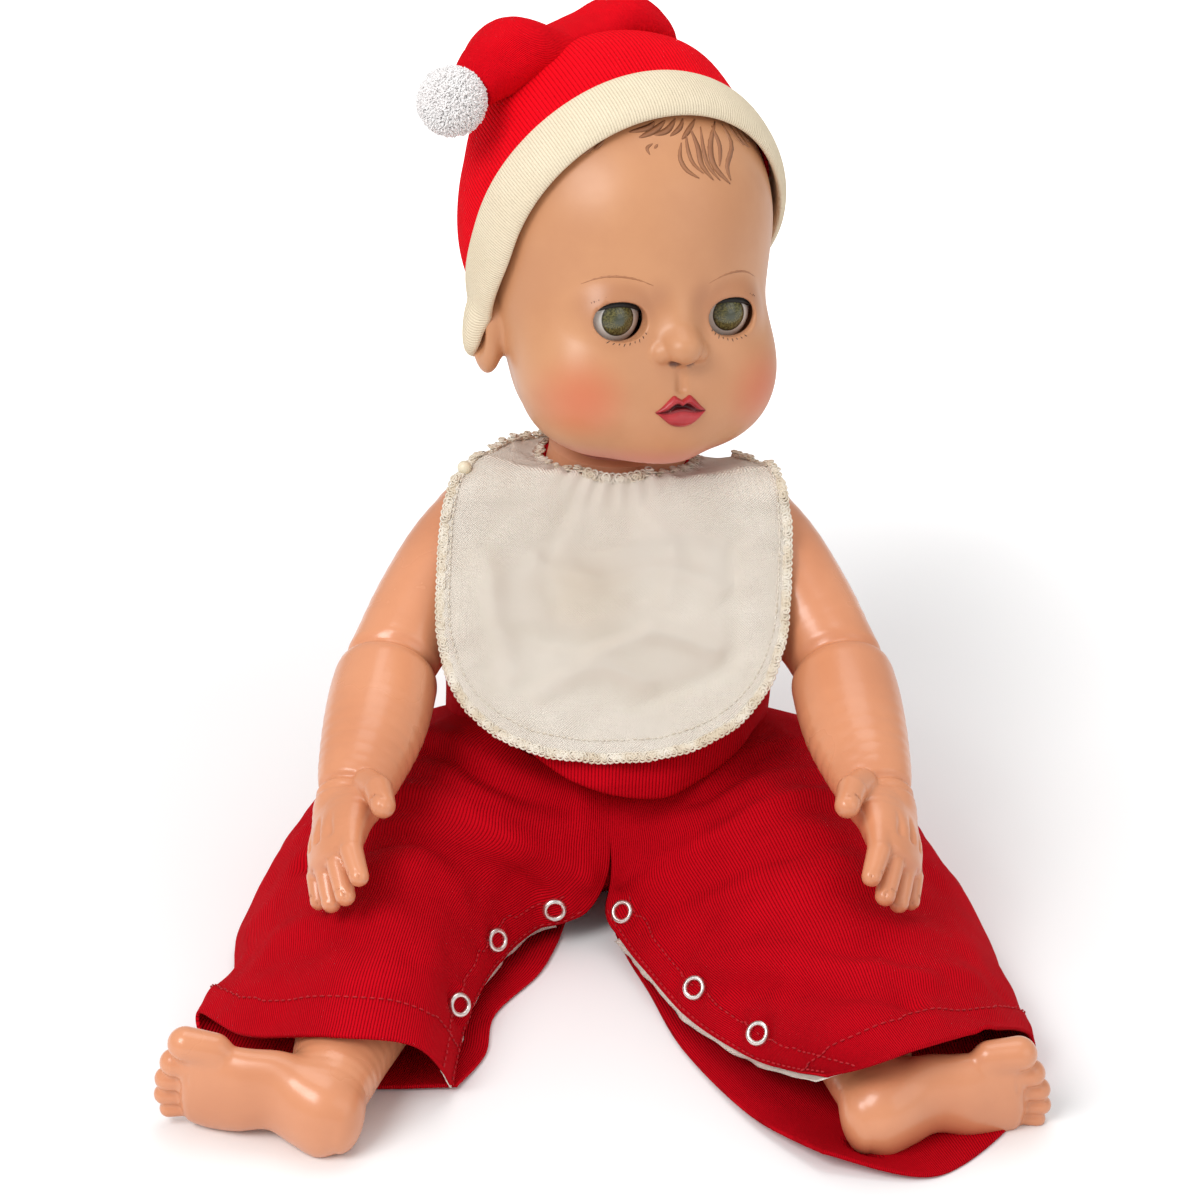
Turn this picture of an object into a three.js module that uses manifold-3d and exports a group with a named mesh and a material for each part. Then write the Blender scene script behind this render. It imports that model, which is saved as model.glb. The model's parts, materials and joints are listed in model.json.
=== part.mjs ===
// Baby doll, seated: a hollow vinyl doll with plug-jointed limbs and rocking sleep eyes, dressed in a
// knitted cap, a lace-edged bib and corduroy overalls. Millimetres, +Z up, the doll faces -Y, its right
// hand is at -X, and the origin is on the floor under the middle of the seat.

import * as THREE from "three";
import { mergeVertices } from "three/addons/utils/BufferGeometryUtils.js";
import Module from "manifold-3d";

// Posture, degrees
const LEAN_BACK = 12;
const LEAN_SIDE = 2;
const HEAD_TURN = 22;

// Clearances and walls
const GAP = 0.4;
const WALL = 3.2;
const CLOTH = 1.8;
const KNIT = 3;

// Neck
const NECK_HEIGHT = 159;
const NECK_TOP = 13.4;
const NECK_WALL = 4.4;
const NECK_STEM_R = 17;
const NECK_FLANGE_R = 21;
const FLANGE = 3.4;

// Head, in its own frame: origin on the neck axis, face towards -Y
const SKULL_AT = [0, 6, 101];
const SKULL_R = [58.5, 65, 63];
const JAW_AT = [0, -13, 57];
const JAW_R = [50, 45, 43];
const CHEEK_AT = [27, -32, 45];
const CHEEK_R = 25;
const CHIN_AT = [0, -45, 27];
const CHIN_R = 12;
const NOSE_AT = [0, -61, 62];
const NOSE_R = 7;
const BASE_AT = [0, 4, 38];
const BASE_R = [40, 40, 30];
const EAR_AT = [55, 4, 58];
const EAR_R = [6, 10, 17];
const FACE_BLEND = 12;
const HEAD_MIDDLE = [0, -4, 82];
const HEAD_AROUND = 22;
const HEAD_ROWS = 14;
const FACE_CROWD = 1.35;

// Sleep eyes
const EYE_X = 23.2;
const EYE_Y = -41;
const EYE_Z = 72;
const EYE_R = 12;
const EYE_OPEN_WIDE = 22;
const EYE_OPEN_TALL = 17.6;
const IRIS_R = 6.6;
const LID_EDGE = 27;
const LID_BACK = 118;
const LASH_WIDE = 9;
const LASH_LONG = 1.8;
const WIRE_R = 1.1;
const WEIGHT_ARM = 30;
const WEIGHT_BACK = 36;
const WEIGHT_SIZE = [18, 9, 9];

// Knitted cap
const RIM_AT = [0, -40, 146];
const RIM_TILT = 66;
const CUFF_WIDE = 20;
const CUFF_THICK = 5.4;
const STAND_OFF = 2.2;
const POMPOM_R = 13;
const POMPOM_AT = [-74, -1, 149];
const CAP_TAIL = [
  { at: [40, 32, 150], wide: 18, tall: 8 },
  { at: [30, 28, 163], wide: 26, tall: 13 },
  { at: [14, 24, 171], wide: 28, tall: 13 },
  { at: [-8, 21, 167], wide: 27, tall: 10.5 },
  { at: [-24, 19, 163], wide: 25, tall: 12 },
  { at: [-42, 15, 164], wide: 22, tall: 15.5 },
  { at: [-55, 9, 159], wide: 17, tall: 13 },
  { at: [-64, 4, 153], wide: 10, tall: 9 },
];

// Shoulder joints, and heights on the neck as a share of the way up from them
const SHOULDER_X = 38;
const SHOULDER_Z = 138;
const onNeckRise = (share) => SHOULDER_Z + (NECK_HEIGHT - SHOULDER_Z) * share;

// Torso, seat up: height, half width, front depth, back depth
const TORSO = [
  { z: CLOTH + GAP, half: 26, front: 24, back: 26 },
  { z: 12, half: 40, front: 38, back: 40 },
  { z: 32, half: 47, front: 48, back: 46 },
  { z: 56, half: 53, front: 55, back: 45 },
  { z: 80, half: 54, front: 55, back: 42 },
  { z: 104, half: 47, front: 50, back: 39 },
  { z: 124, half: 40.2, front: 43, back: 36 },
  { z: SHOULDER_Z + 2, half: 39.5, front: 36, back: 33 },
  { z: onNeckRise(2 / 3), half: 34, front: 31, back: 30 },
  { z: NECK_HEIGHT + 1, half: 29.5, front: 28, back: 28 },
  { z: NECK_HEIGHT + 8, half: 27.5, front: 27.5, back: 27.5 },
  { z: NECK_HEIGHT + 26, half: 27, front: 27, back: 27 },
];
const NECK_ROWS = [onNeckRise(0.57), onNeckRise(0.9), NECK_HEIGHT + 7, NECK_HEIGHT + 25];
const TORSO_ROWS = [CLOTH + GAP, 12, 28, 48, 68, 90, 112, 128, SHOULDER_Z + 2, ...NECK_ROWS];

// Overalls: how far the cloth stands off the body
const EASE = [
  { z: 0, half: 16, front: 20, back: 20 },
  { z: 12, half: 15, front: 20, back: 17 },
  { z: 30, half: 15, front: 18, back: 13 },
  { z: 50, half: 15, front: 19, back: 12 },
  { z: 61, half: 13, front: 11, back: 11 },
  { z: 72, half: 12, front: 13, back: 11 },
  { z: 90, half: 9, front: 8, back: 9 },
  { z: 108, half: 5.5, front: 5.5, back: 5.5 },
  { z: 140, half: 3.6, front: 3.6, back: 3.6 },
];
const CLOTH_ROWS = [0, 8, 24, 42, 52, 60, 68, 84, 104, 130];
const OVERALLS_TOP = 126;
const ARMHOLE_R = [30, 80, 40];
const STRAP_X = 24;
const STRAP_WIDE = 13;
const STRAP_FROM = OVERALLS_TOP + 1;
const STRAP_BUTTON_R = 5;

// Arms: the limb from its root face outwards
const ARM = [
  { at: [0, 0, 0], wide: 18, tall: 18 },
  { at: [-11, 0, 0], wide: 20, tall: 20 },
  { at: [-24, -14, -8], wide: 21, tall: 21 },
  { at: [-38, -34, -22], wide: 20, tall: 20 },
  { at: [-49, -54, -34], wide: 18, tall: 18 },
  { at: [-52, -68, -39], wide: 22, tall: 21 },
  { at: [-55, -90, -45], wide: 22.5, tall: 21 },
  { at: [-59, -112, -51], wide: 17.5, tall: 16.5 },
  { at: [-60.5, -120, -53.5], wide: 14.5, tall: 13 },
  { at: [-63, -131, -57], wide: 15.5, tall: 10 },
  { at: [-66, -145, -61.5], wide: 16.5, tall: 9 },
  { at: [-67.5, -153, -64], wide: 14, tall: 6.5 },
];
const ARM_PLUG_R = 7;
const ARM_FLANGE_R = 10;
const ARM_PLUG_DEEP = 8;
const FINGERS = [
  { side: -11, long: 21, r: 4.8, spread: -8 },
  { side: -3.7, long: 24, r: 5, spread: -1 },
  { side: 3.7, long: 22.5, r: 4.8, spread: 6 },
  { side: 10.6, long: 18, r: 4.3, spread: 14 },
];
const FINGER_CURL = 32;
const THUMB = { side: -13, back: 20, long: 22, r: 5.8, spread: -48 };

// Legs: the hip joint, then the limb from its root face outwards
const HIP_X = 44;
const HIP_Y = -2;
const HIP_Z = 33;
const LEG = [
  { at: [0, 0, 0], wide: 27, tall: 27 },
  { at: [-10, 0, 0], wide: 30, tall: 30 },
  { at: [-20, -18, 0], wide: 30, tall: 30 },
  { at: [-25, -43, -1], wide: 29, tall: 29 },
  { at: [-29, -69, -2], wide: 27.5, tall: 27.5 },
  { at: [-34, -94, -4], wide: 25, tall: 25 },
  { at: [-40, -120, -6], wide: 24.5, tall: 24 },
  { at: [-46, -147, -9], wide: 22, tall: 21.5 },
  { at: [-51, -169, -12], wide: 19.5, tall: 18.5 },
  { at: [-54, -186, -14], wide: 18, tall: 17 },
  { at: [-56, -200, -15], wide: 15.5, tall: 14.5 },
];
const LEG_PLUG_R = 9;
const LEG_FLANGE_R = 12;
const LEG_PLUG_DEEP = 10;
const FOOT_TURN = 20;
const FOOT = [
  { s: -21, deep: 13, thick: 5, half: 8 },
  { s: -15.5, deep: 13, thick: 13, half: 14 },
  { s: -5, deep: 9.5, thick: 18, half: 16.5 },
  { s: 10, deep: 12, thick: 16, half: 16.5 },
  { s: 26, deep: 17, thick: 11.5, half: 17.5 },
  { s: 38, deep: 19, thick: 8.5, half: 17.5 },
  { s: 46, deep: 20, thick: 5.5, half: 14.5 },
];
const TOES = [
  { s: 47, up: 11.5, r: 7.6 },
  { s: 47, up: 1.8, r: 5.5 },
  { s: 45, up: -5.4, r: 5.1 },
  { s: 43, up: -11, r: 4.7 },
  { s: 39.5, up: -14.6, r: 4.3 },
];

// Overalls legs, from the hip out to the hem
const TROUSER = [
  { at: [-18, 6, 0], wide: 44, tall: 34 },
  { at: [-26, -30, 0], wide: 51, tall: 34.5 },
  { at: [-36, -62, -1], wide: 52, tall: 32.5 },
  { at: [-45, -90, -2.5], wide: 49, tall: 33 },
  { at: [-52, -116, -5], wide: 48, tall: 29.5 },
  { at: [-58, -138, -7.5], wide: 50, tall: 30 },
  { at: [-64, -170, -10], wide: 49, tall: 27 },
];
const HIP_CAP_R = 37;
const HIP_CAP_WIDE = 56;
const LAP_R = 72;
const SNAP_R = 4.75;
const SNAP_THICK = 1.5;
const INSEAM = 186;
const LEG_SNAPS = [3.2, 5];
const FACING_TURN = 18;
const FACING_WIDE = 7;
const FACING_THICK = 1;
const SEAT_FROM = 2.5;

// Bib, as a flat shape round the neck
const BIB_HALF = 67;
const BIB_LONG = 143;
const BIB_NECK_R = 31;
const BIB_THICK = 1.4;
const BIB_OFF = 1.25;
const BIB_END = 84;
const BIB_WRAP = -3;
const LACE_WIDE = 5;
const BAND_WIDE = 5.6;
const BEAD_R = 2.8;
const BEAD_TURN = 70;

// Materials
const look = (color, roughness, metalness = 0) =>
  new THREE.MeshStandardMaterial({ color, roughness, metalness });
const HEAD_VINYL = look(0xd9a27c, 0.5);
const LIMB_VINYL = look(0xe0986f, 0.35);
const BODY_VINYL = look(0xdf9c76, 0.5);
const RED_KNIT = look(0xc1121f, 0.95);
const CREAM_KNIT = look(0xf0e6cf, 0.95);
const WHITE_YARN = look(0xf6f3ec, 1);
const RED_CORD = look(0xb01020, 0.9);
const WHITE_COTTON = look(0xf4efe2, 0.95);
const STEEL = look(0xc9ccd0, 0.25, 1);
const LEAD = look(0x77797d, 0.6, 0.8);
const EYE_WHITE = look(0xf3f0e6, 0.15);
const EYE_GREEN = look(0x5f6b45, 0.1);
const LASH_BLACK = look(0x1a1512, 0.8);
const PLUG_PLASTIC = look(0xe8dcc6, 0.5);
const BUTTON_PLASTIC = look(0xeadfc2, 0.35);

const wasm = await Module();
wasm.setup();

const rad = THREE.MathUtils.degToRad;
const vec = (p) => new THREE.Vector3(...p);
const X = vec([1, 0, 0]);
const Z = vec([0, 0, 1]);

// Solids from geometry and back
function solidOf(geometry) {
  const bare = geometry.clone();
  bare.deleteAttribute("normal");
  bare.deleteAttribute("uv");
  const merged = mergeVertices(bare, 1e-4);
  return new wasm.Manifold(
    new wasm.Mesh({
      numProp: 3,
      vertProperties: new Float32Array(merged.attributes.position.array),
      triVerts: new Uint32Array(merged.index.array),
    }),
  );
}

function geometryOf(solid) {
  const mesh = solid.getMesh();
  const geometry = new THREE.BufferGeometry();
  geometry.setAttribute("position", new THREE.BufferAttribute(mesh.vertProperties, 3));
  geometry.setIndex(new THREE.BufferAttribute(mesh.triVerts, 1));
  geometry.computeVertexNormals();
  return geometry;
}

// A closed skin over rings of points, with a fan over each end
function skin(rings) {
  const count = rings[0].length;
  const points = rings.flat();
  const faces = [];
  for (let r = 0; r < rings.length - 1; r++) {
    for (let i = 0; i < count; i++) {
      const a = r * count + i;
      const b = r * count + ((i + 1) % count);
      faces.push(a, b, a + count, b, b + count, a + count);
    }
  }
  for (const end of [0, rings.length - 1]) {
    const middle = new THREE.Vector3();
    rings[end].forEach((p) => middle.addScaledVector(p, 1 / count));
    points.push(middle);
    for (let i = 0; i < count; i++) {
      const a = end * count + i;
      const b = end * count + ((i + 1) % count);
      faces.push(...(end ? [a, b, points.length - 1] : [b, a, points.length - 1]));
    }
  }
  let volume = 0;
  for (let i = 0; i < faces.length; i += 3) {
    const [a, b, c] = [points[faces[i]], points[faces[i + 1]], points[faces[i + 2]]];
    volume += a.dot(b.clone().cross(c));
  }
  if (volume < 0) faces.reverse();
  const geometry = new THREE.BufferGeometry().setFromPoints(points);
  geometry.setIndex(faces);
  return solidOf(geometry);
}

function ring(centre, across, up, wide, tall, count) {
  const points = [];
  for (let i = 0; i < count; i++) {
    const turn = (2 * Math.PI * i) / count;
    const p = centre.clone().addScaledVector(across, wide * Math.cos(turn));
    points.push(p.addScaledVector(up, tall * Math.sin(turn)));
  }
  return points;
}

// The cross direction and the up direction of a path at a station
function sides(path, i) {
  const ahead = path[Math.min(i + 1, path.length - 1)];
  const behind = path[Math.max(i - 1, 0)];
  const along = ahead.clone().sub(i === 0 ? path[0] : behind).normalize();
  const across = along.clone().cross(Z).normalize();
  return { along, across, up: across.clone().cross(along) };
}

// A tube through stations, each an ellipse square to the path
function tube(stations, count, grow = 0) {
  const path = stations.map((s) => vec(s.at));
  const rings = stations.map((s, i) => {
    const { across, up } = sides(path, i);
    return ring(path[i], across, up, s.wide + grow, s.tall + grow, count);
  });
  return skin(rings);
}

// A round bar that tapers through points, rounded at its far end
function finger(points, radii, count) {
  const path = points.map(vec);
  const last = path.length - 1;
  const along = path[last].clone().sub(path[last - 1]).normalize();
  const rings = path.map((p, i) => {
    const s = sides(path, i);
    return ring(p, s.across, s.up, radii[i], radii[i], count);
  });
  const s = sides(path, last);
  const tip = path[last].clone().addScaledVector(along, radii[last] * 0.72);
  rings.push(ring(tip, s.across, s.up, radii[last] * 0.6, radii[last] * 0.6, count));
  return skin(rings);
}

function rod(radius, from, to, count = 16) {
  const a = vec(from);
  const b = vec(to);
  const geometry = new THREE.CylinderGeometry(radius, radius, a.distanceTo(b), count);
  const turn = new THREE.Quaternion().setFromUnitVectors(vec([0, 1, 0]), b.clone().sub(a).normalize());
  geometry.applyQuaternion(turn);
  const middle = a.add(b).multiplyScalar(0.5);
  return solidOf(geometry.translate(middle.x, middle.y, middle.z));
}

function box(from, to) {
  const size = to.map((v, i) => v - from[i]);
  const geometry = new THREE.BoxGeometry(...size);
  return solidOf(geometry.translate(...to.map((v, i) => (v + from[i]) / 2)));
}

function ball(at, radii, wide = 16, tall = 10) {
  const geometry = new THREE.SphereGeometry(1, wide, tall);
  return solidOf(geometry.scale(...radii).translate(...at));
}

// A turned piece: radius and place pairs along an axis that points along +X
function turned(profile, count = 16) {
  const points = profile.map(([r, x]) => new THREE.Vector2(r, x));
  return solidOf(new THREE.LatheGeometry(points, count).rotateZ(-Math.PI / 2));
}

// A flanged plug along +X: the flange is inside the body, the stem reaches into the limb
function plug(stem, flange, wall, deep) {
  return turned([
    [0, -wall - GAP - FLANGE],
    [flange, -wall - GAP - FLANGE],
    [flange, -wall - GAP],
    [stem, -wall - GAP],
    [stem, deep],
    [0, deep],
  ]);
}

function moved(solid, matrix) {
  return solidOf(geometryOf(solid).applyMatrix4(matrix));
}

// A piece moved along a direction until it lies a clearance away from what carries it
function seated(solid, on, inwards) {
  let near = solid;
  for (let n = 0; n < 4; n++) {
    const slack = near.minGap(on, 20) - GAP;
    near = near.translate(inwards.clone().multiplyScalar(slack).toArray());
  }
  return near;
}

// The half of space on the far side of a plane
function beyond(at, facing) {
  const turn = new THREE.Quaternion().setFromUnitVectors(Z, facing.clone().normalize());
  const slab = new THREE.BoxGeometry(900, 900, 450).translate(0, 0, 225).applyQuaternion(turn);
  return solidOf(slab.translate(at.x, at.y, at.z));
}

// A smooth value between stations
function between(stations, key, z) {
  const last = stations.length - 1;
  let i = stations.findIndex((s) => s.z > z) - 1;
  if (z >= stations[last].z) return stations[last][key];
  if (i < 0) return stations[0][key];
  const slope = (k) => {
    const a = stations[Math.max(k - 1, 0)];
    const b = stations[Math.min(k + 1, last)];
    return (b[key] - a[key]) / (b.z - a.z);
  };
  const step = stations[i + 1].z - stations[i].z;
  const t = (z - stations[i].z) / step;
  const rise = stations[i + 1][key] - stations[i][key];
  const bend = t * t * (3 - 2 * t);
  return (
    stations[i][key] + rise * bend + step * t * (1 - t) * ((1 - t) * slope(i) - t * slope(i + 1))
  );
}

const doll = new THREE.Group();
doll.name = "baby_doll";

function piece(group, name, solid, material) {
  const mesh = new THREE.Mesh(geometryOf(solid), material);
  mesh.name = name;
  group.add(mesh);
}

// Body form
const spineX = (z) => z * Math.tan(rad(LEAN_SIDE));
const spineY = (z) => z * Math.tan(rad(LEAN_BACK));

function bodyPoint(z, turn, off, eased) {
  const add = (key) => off + (eased ? between(EASE, key, z) : 0);
  const half = between(TORSO, "half", z) + add("half");
  const key = Math.sin(turn) > 0 ? "back" : "front";
  const deep = between(TORSO, key, z) + add(key);
  return vec([spineX(z) + half * Math.cos(turn), spineY(z) + deep * Math.sin(turn), z]);
}

function bodySkin(heights, count, off, eased) {
  const rings = heights.map((z) => {
    const points = [];
    for (let i = 0; i < count; i++) points.push(bodyPoint(z, (2 * Math.PI * i) / count, off, eased));
    return points;
  });
  return skin(rings);
}

// Neck frame: the neck axis follows the spine
const neckAt = vec([spineX(NECK_HEIGHT), spineY(NECK_HEIGHT), NECK_HEIGHT]);
const neckUp = vec([Math.tan(rad(LEAN_SIDE)), Math.tan(rad(LEAN_BACK)), 1]).normalize();
const neckTurn = new THREE.Quaternion().setFromUnitVectors(Z, neckUp);
const onNeck = (h) => neckAt.clone().addScaledVector(neckUp, h);

const shoulderAt = (side) =>
  vec([spineX(SHOULDER_Z) + side * SHOULDER_X, spineY(SHOULDER_Z), SHOULDER_Z]);
const hipAt = (side) => vec([side * HIP_X, HIP_Y, HIP_Z]);

// Torso: two moulded halves, with round holes for the five plugs
{
  let outside = bodySkin(TORSO_ROWS, 18, 0, false);
  outside = outside.subtract(beyond(onNeck(NECK_TOP), neckUp));
  let hollow = bodySkin(TORSO_ROWS.slice(1), 12, -WALL, false);
  hollow = hollow.subtract(beyond(onNeck(NECK_TOP - NECK_WALL), neckUp));
  outside = outside.subtract(
    rod(NECK_STEM_R + GAP, onNeck(-2).toArray(), onNeck(NECK_TOP + 4).toArray()),
  );
  const joints = [
    { at: shoulderAt, plug: ARM_PLUG_R, flange: ARM_FLANGE_R, root: ARM[1].tall + 1.5 },
    { at: hipAt, plug: LEG_PLUG_R, flange: LEG_FLANGE_R, root: HIP_CAP_R + 1.6 },
  ];
  for (const joint of joints) {
    for (const side of [-1, 1]) {
      const face = joint.at(side);
      const out = (d) => face.clone().addScaledVector(X, side * d).toArray();
      outside = outside.subtract(rod(joint.root, out(-GAP), out(40)));
      hollow = hollow.subtract(rod(joint.flange + 4, out(-GAP - WALL), out(40)));
      hollow = hollow.add(rod(joint.flange + 0.8, out(-GAP - WALL), out(-14)));
      outside = outside.subtract(rod(joint.plug + GAP, out(-14), out(40)));
    }
  }
  const shell = outside.subtract(hollow);
  const across = vec([0, 1, -Math.tan(rad(LEAN_BACK))]).normalize();
  const seam = (d) => beyond(vec([0, 0, 0]).addScaledVector(across, d), across);
  piece(doll, "torso_front", shell.subtract(seam(-GAP / 2)), BODY_VINYL);
  piece(doll, "torso_back", shell.intersect(seam(GAP / 2)), BODY_VINYL);
}

// Head
const headGroup = new THREE.Group();
headGroup.position.copy(neckAt);
headGroup.quaternion.copy(neckTurn).multiply(new THREE.Quaternion().setFromAxisAngle(Z, rad(HEAD_TURN)));
doll.add(headGroup);

function egg(p, at, radii) {
  const q = [0, 1, 2].map((k) => (p.getComponent(k) - at[k]) / radii[k]);
  const far = Math.hypot(...q);
  const steep = Math.hypot(...q.map((v, k) => v / radii[k]));
  return steep > 0 ? (far * (far - 1)) / steep : -Math.min(...radii);
}

function blend(a, b, reach) {
  const h = Math.max(reach - Math.abs(a - b), 0) / reach;
  return Math.min(a, b) - (h * h * reach) / 4;
}

function headField(p) {
  const q = vec([Math.abs(p.x), p.y, p.z]);
  let d = blend(egg(q, SKULL_AT, SKULL_R), egg(q, JAW_AT, JAW_R), FACE_BLEND * 1.6);
  d = blend(d, egg(q, BASE_AT, BASE_R), FACE_BLEND);
  d = blend(d, egg(q, CHEEK_AT, [CHEEK_R, CHEEK_R, CHEEK_R]), FACE_BLEND);
  d = blend(d, egg(q, CHIN_AT, [CHIN_R * 1.15, CHIN_R, CHIN_R]), FACE_BLEND);
  return blend(d, egg(q, NOSE_AT, [NOSE_R, NOSE_R, NOSE_R]), FACE_BLEND * 0.6);
}

const headMiddle = vec(HEAD_MIDDLE);

// Rings round the line from the middle of the head to the nose, closest together on the face
const faceTurn = new THREE.Quaternion().setFromUnitVectors(
  Z,
  vec(NOSE_AT).sub(headMiddle).normalize(),
);

function headSkin(around, rows, off) {
  const rings = [];
  for (let r = 1; r < rows; r++) {
    const tilt = Math.PI * (r / rows) ** FACE_CROWD;
    const points = [];
    for (let i = 0; i < around; i++) {
      const turn = (2 * Math.PI * i) / around;
      const ray = vec([
        Math.sin(tilt) * Math.cos(turn),
        Math.sin(tilt) * Math.sin(turn),
        Math.cos(tilt),
      ]).applyQuaternion(faceTurn);
      let near = 0;
      let far = 120;
      for (let n = 0; n < 30; n++) {
        const mid = (near + far) / 2;
        const inside = headField(ray.clone().multiplyScalar(mid).add(headMiddle)) < 0;
        near = inside ? mid : near;
        far = inside ? far : mid;
      }
      points.push(ray.multiplyScalar(near + off).add(headMiddle));
    }
    rings.push(points);
  }
  return skin(rings);
}

const up = (h) => beyond(vec([0, 0, h]), Z);
const ears = (grow) =>
  [-1, 1].map((s) =>
    ball([s * EAR_AT[0], EAR_AT[1], EAR_AT[2]], EAR_R.map((r) => r + grow), 12, 8),
  );
const headFloor = NECK_TOP + GAP;
const wallTop = headFloor + WALL;
const cavity = (off) => headSkin(16, 10, -WALL - off).intersect(up(wallTop + off));
const eyeAt = (s) => [s * EYE_X, EYE_Y, EYE_Z];

{
  let shell = headSkin(HEAD_AROUND, HEAD_ROWS, 0);
  ears(0).forEach((ear) => (shell = shell.add(ear)));
  shell = shell.intersect(up(headFloor)).subtract(cavity(0));
  shell = shell.subtract(rod(NECK_STEM_R + GAP, [0, 0, 0], [0, 0, wallTop + 1]));
  shell = shell.subtract(
    rod(NECK_FLANGE_R + GAP, [0, 0, wallTop], [0, 0, wallTop + FLANGE + 2 * GAP]),
  );
  const lidR = EYE_R + 2.6;
  for (const s of [-1, 1]) {
    const opening = new THREE.CylinderGeometry(1, 1, 40, 24);
    opening.scale(EYE_OPEN_WIDE / 2, 1, EYE_OPEN_TALL / 2).translate(s * EYE_X, EYE_Y - 20, EYE_Z);
    shell = shell.subtract(ball(eyeAt(s), [lidR, lidR, lidR], 14, 10)).subtract(solidOf(opening));
  }
  piece(headGroup, "head_shell", shell, HEAD_VINYL);

  const spool = turned([
    [0, NECK_TOP - NECK_WALL - GAP - FLANGE],
    [NECK_FLANGE_R, NECK_TOP - NECK_WALL - GAP - FLANGE],
    [NECK_FLANGE_R, NECK_TOP - NECK_WALL - GAP],
    [NECK_STEM_R, NECK_TOP - NECK_WALL - GAP],
    [NECK_STEM_R, wallTop + GAP],
    [NECK_FLANGE_R, wallTop + GAP],
    [NECK_FLANGE_R, wallTop + GAP + FLANGE],
    [0, wallTop + GAP + FLANGE],
  ]);
  const upright = new THREE.Matrix4().makeRotationY(-Math.PI / 2);
  piece(headGroup, "neck_plug", moved(spool, upright), PLUG_PLASTIC);
}

// Sleep eyes: two balls, with lids and lashes, on one weighted wire that rocks in two saddles
{
  const names = { "-1": "right", 1: "left" };
  const lidIn = EYE_R + 1;
  const lidOut = EYE_R + 1.7;
  const round = (r) => [r, r, r];
  for (const s of [-1, 1]) {
    const centre = vec(eyeAt(s));
    const ends = box(
      [centre.x - EYE_R + 0.8, centre.y - 30, centre.z - 30],
      [centre.x + EYE_R - 0.8, centre.y + 30, centre.z + 30],
    );
    const eyeball = ball(eyeAt(s), round(EYE_R), 12, 8).intersect(ends);
    piece(headGroup, "eyeball_" + names[s], eyeball, EYE_WHITE);
    const front = rod(IRIS_R, [centre.x, centre.y, centre.z], [centre.x, centre.y - 30, centre.z]);
    const cap = ball(eyeAt(s), round(EYE_R + 0.8), 12, 8).intersect(front);
    piece(
      headGroup,
      "iris_" + names[s],
      cap.subtract(ball(eyeAt(s), round(EYE_R + GAP), 12, 8)),
      EYE_GREEN,
    );
    const tipped = (deg) => vec([0, Math.sin(rad(deg)), Math.cos(rad(deg))]);
    let lid = ball(eyeAt(s), round(lidOut), 12, 8).subtract(ball(eyeAt(s), round(lidIn), 12, 8));
    lid = lid.intersect(beyond(centre, tipped(LID_EDGE)));
    lid = lid.intersect(beyond(centre, tipped(LID_BACK - 180)));
    lid = lid.intersect(
      box([centre.x - EYE_R + 2, -200, -200], [centre.x + EYE_R - 2, 200, 200]),
    );
    piece(headGroup, "eyelid_" + names[s], lid, HEAD_VINYL);
    const rings = [];
    for (let i = 0; i <= 8; i++) {
      const x = LASH_WIDE * (i / 8 - 0.5);
      const r = Math.sqrt((lidOut + GAP) ** 2 - x * x);
      const at = (far, deg) => [
        centre.x + x,
        centre.y - far * Math.cos(rad(deg)),
        centre.z + far * Math.sin(rad(deg)),
      ];
      const corner = [
        at(r, LID_EDGE),
        at(r + LASH_LONG, LID_EDGE),
        at(r + LASH_LONG, LID_EDGE + 4),
        at(r, LID_EDGE + 4),
      ];
      rings.push(corner.map(vec));
    }
    piece(headGroup, "lashes_" + names[s], skin(rings), LASH_BLACK);
    const block = box(
      [s > 0 ? 4 : -8, -80, EYE_Z - 3.5],
      [s > 0 ? 8 : -4, EYE_Y + 4, EYE_Z + 3.5],
    );
    const bore = rod(WIRE_R + GAP, [-20, EYE_Y, EYE_Z], [20, EYE_Y, EYE_Z], 12);
    const saddle = block.intersect(cavity(GAP)).subtract(bore);
    piece(headGroup, "eye_saddle_" + names[s], saddle, PLUG_PLASTIC);
  }
  const reach = EYE_X - EYE_R + 0.8 - GAP;
  const back = rad(WEIGHT_BACK);
  const hang = (d) => [0, EYE_Y + d * Math.sin(back), EYE_Z - d * Math.cos(back)];
  const half = WEIGHT_SIZE[2] / 2;
  const wire = rod(WIRE_R, [-reach, EYE_Y, EYE_Z], [reach, EYE_Y, EYE_Z], 10).add(
    rod(WIRE_R, hang(0), hang(WEIGHT_ARM - half - GAP), 10),
  );
  piece(headGroup, "rocker_wire", wire, STEEL);
  const bob = new THREE.BoxGeometry(...WEIGHT_SIZE).rotateX(back).translate(...hang(WEIGHT_ARM));
  piece(headGroup, "eye_weight", solidOf(bob), LEAD);
}

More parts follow.
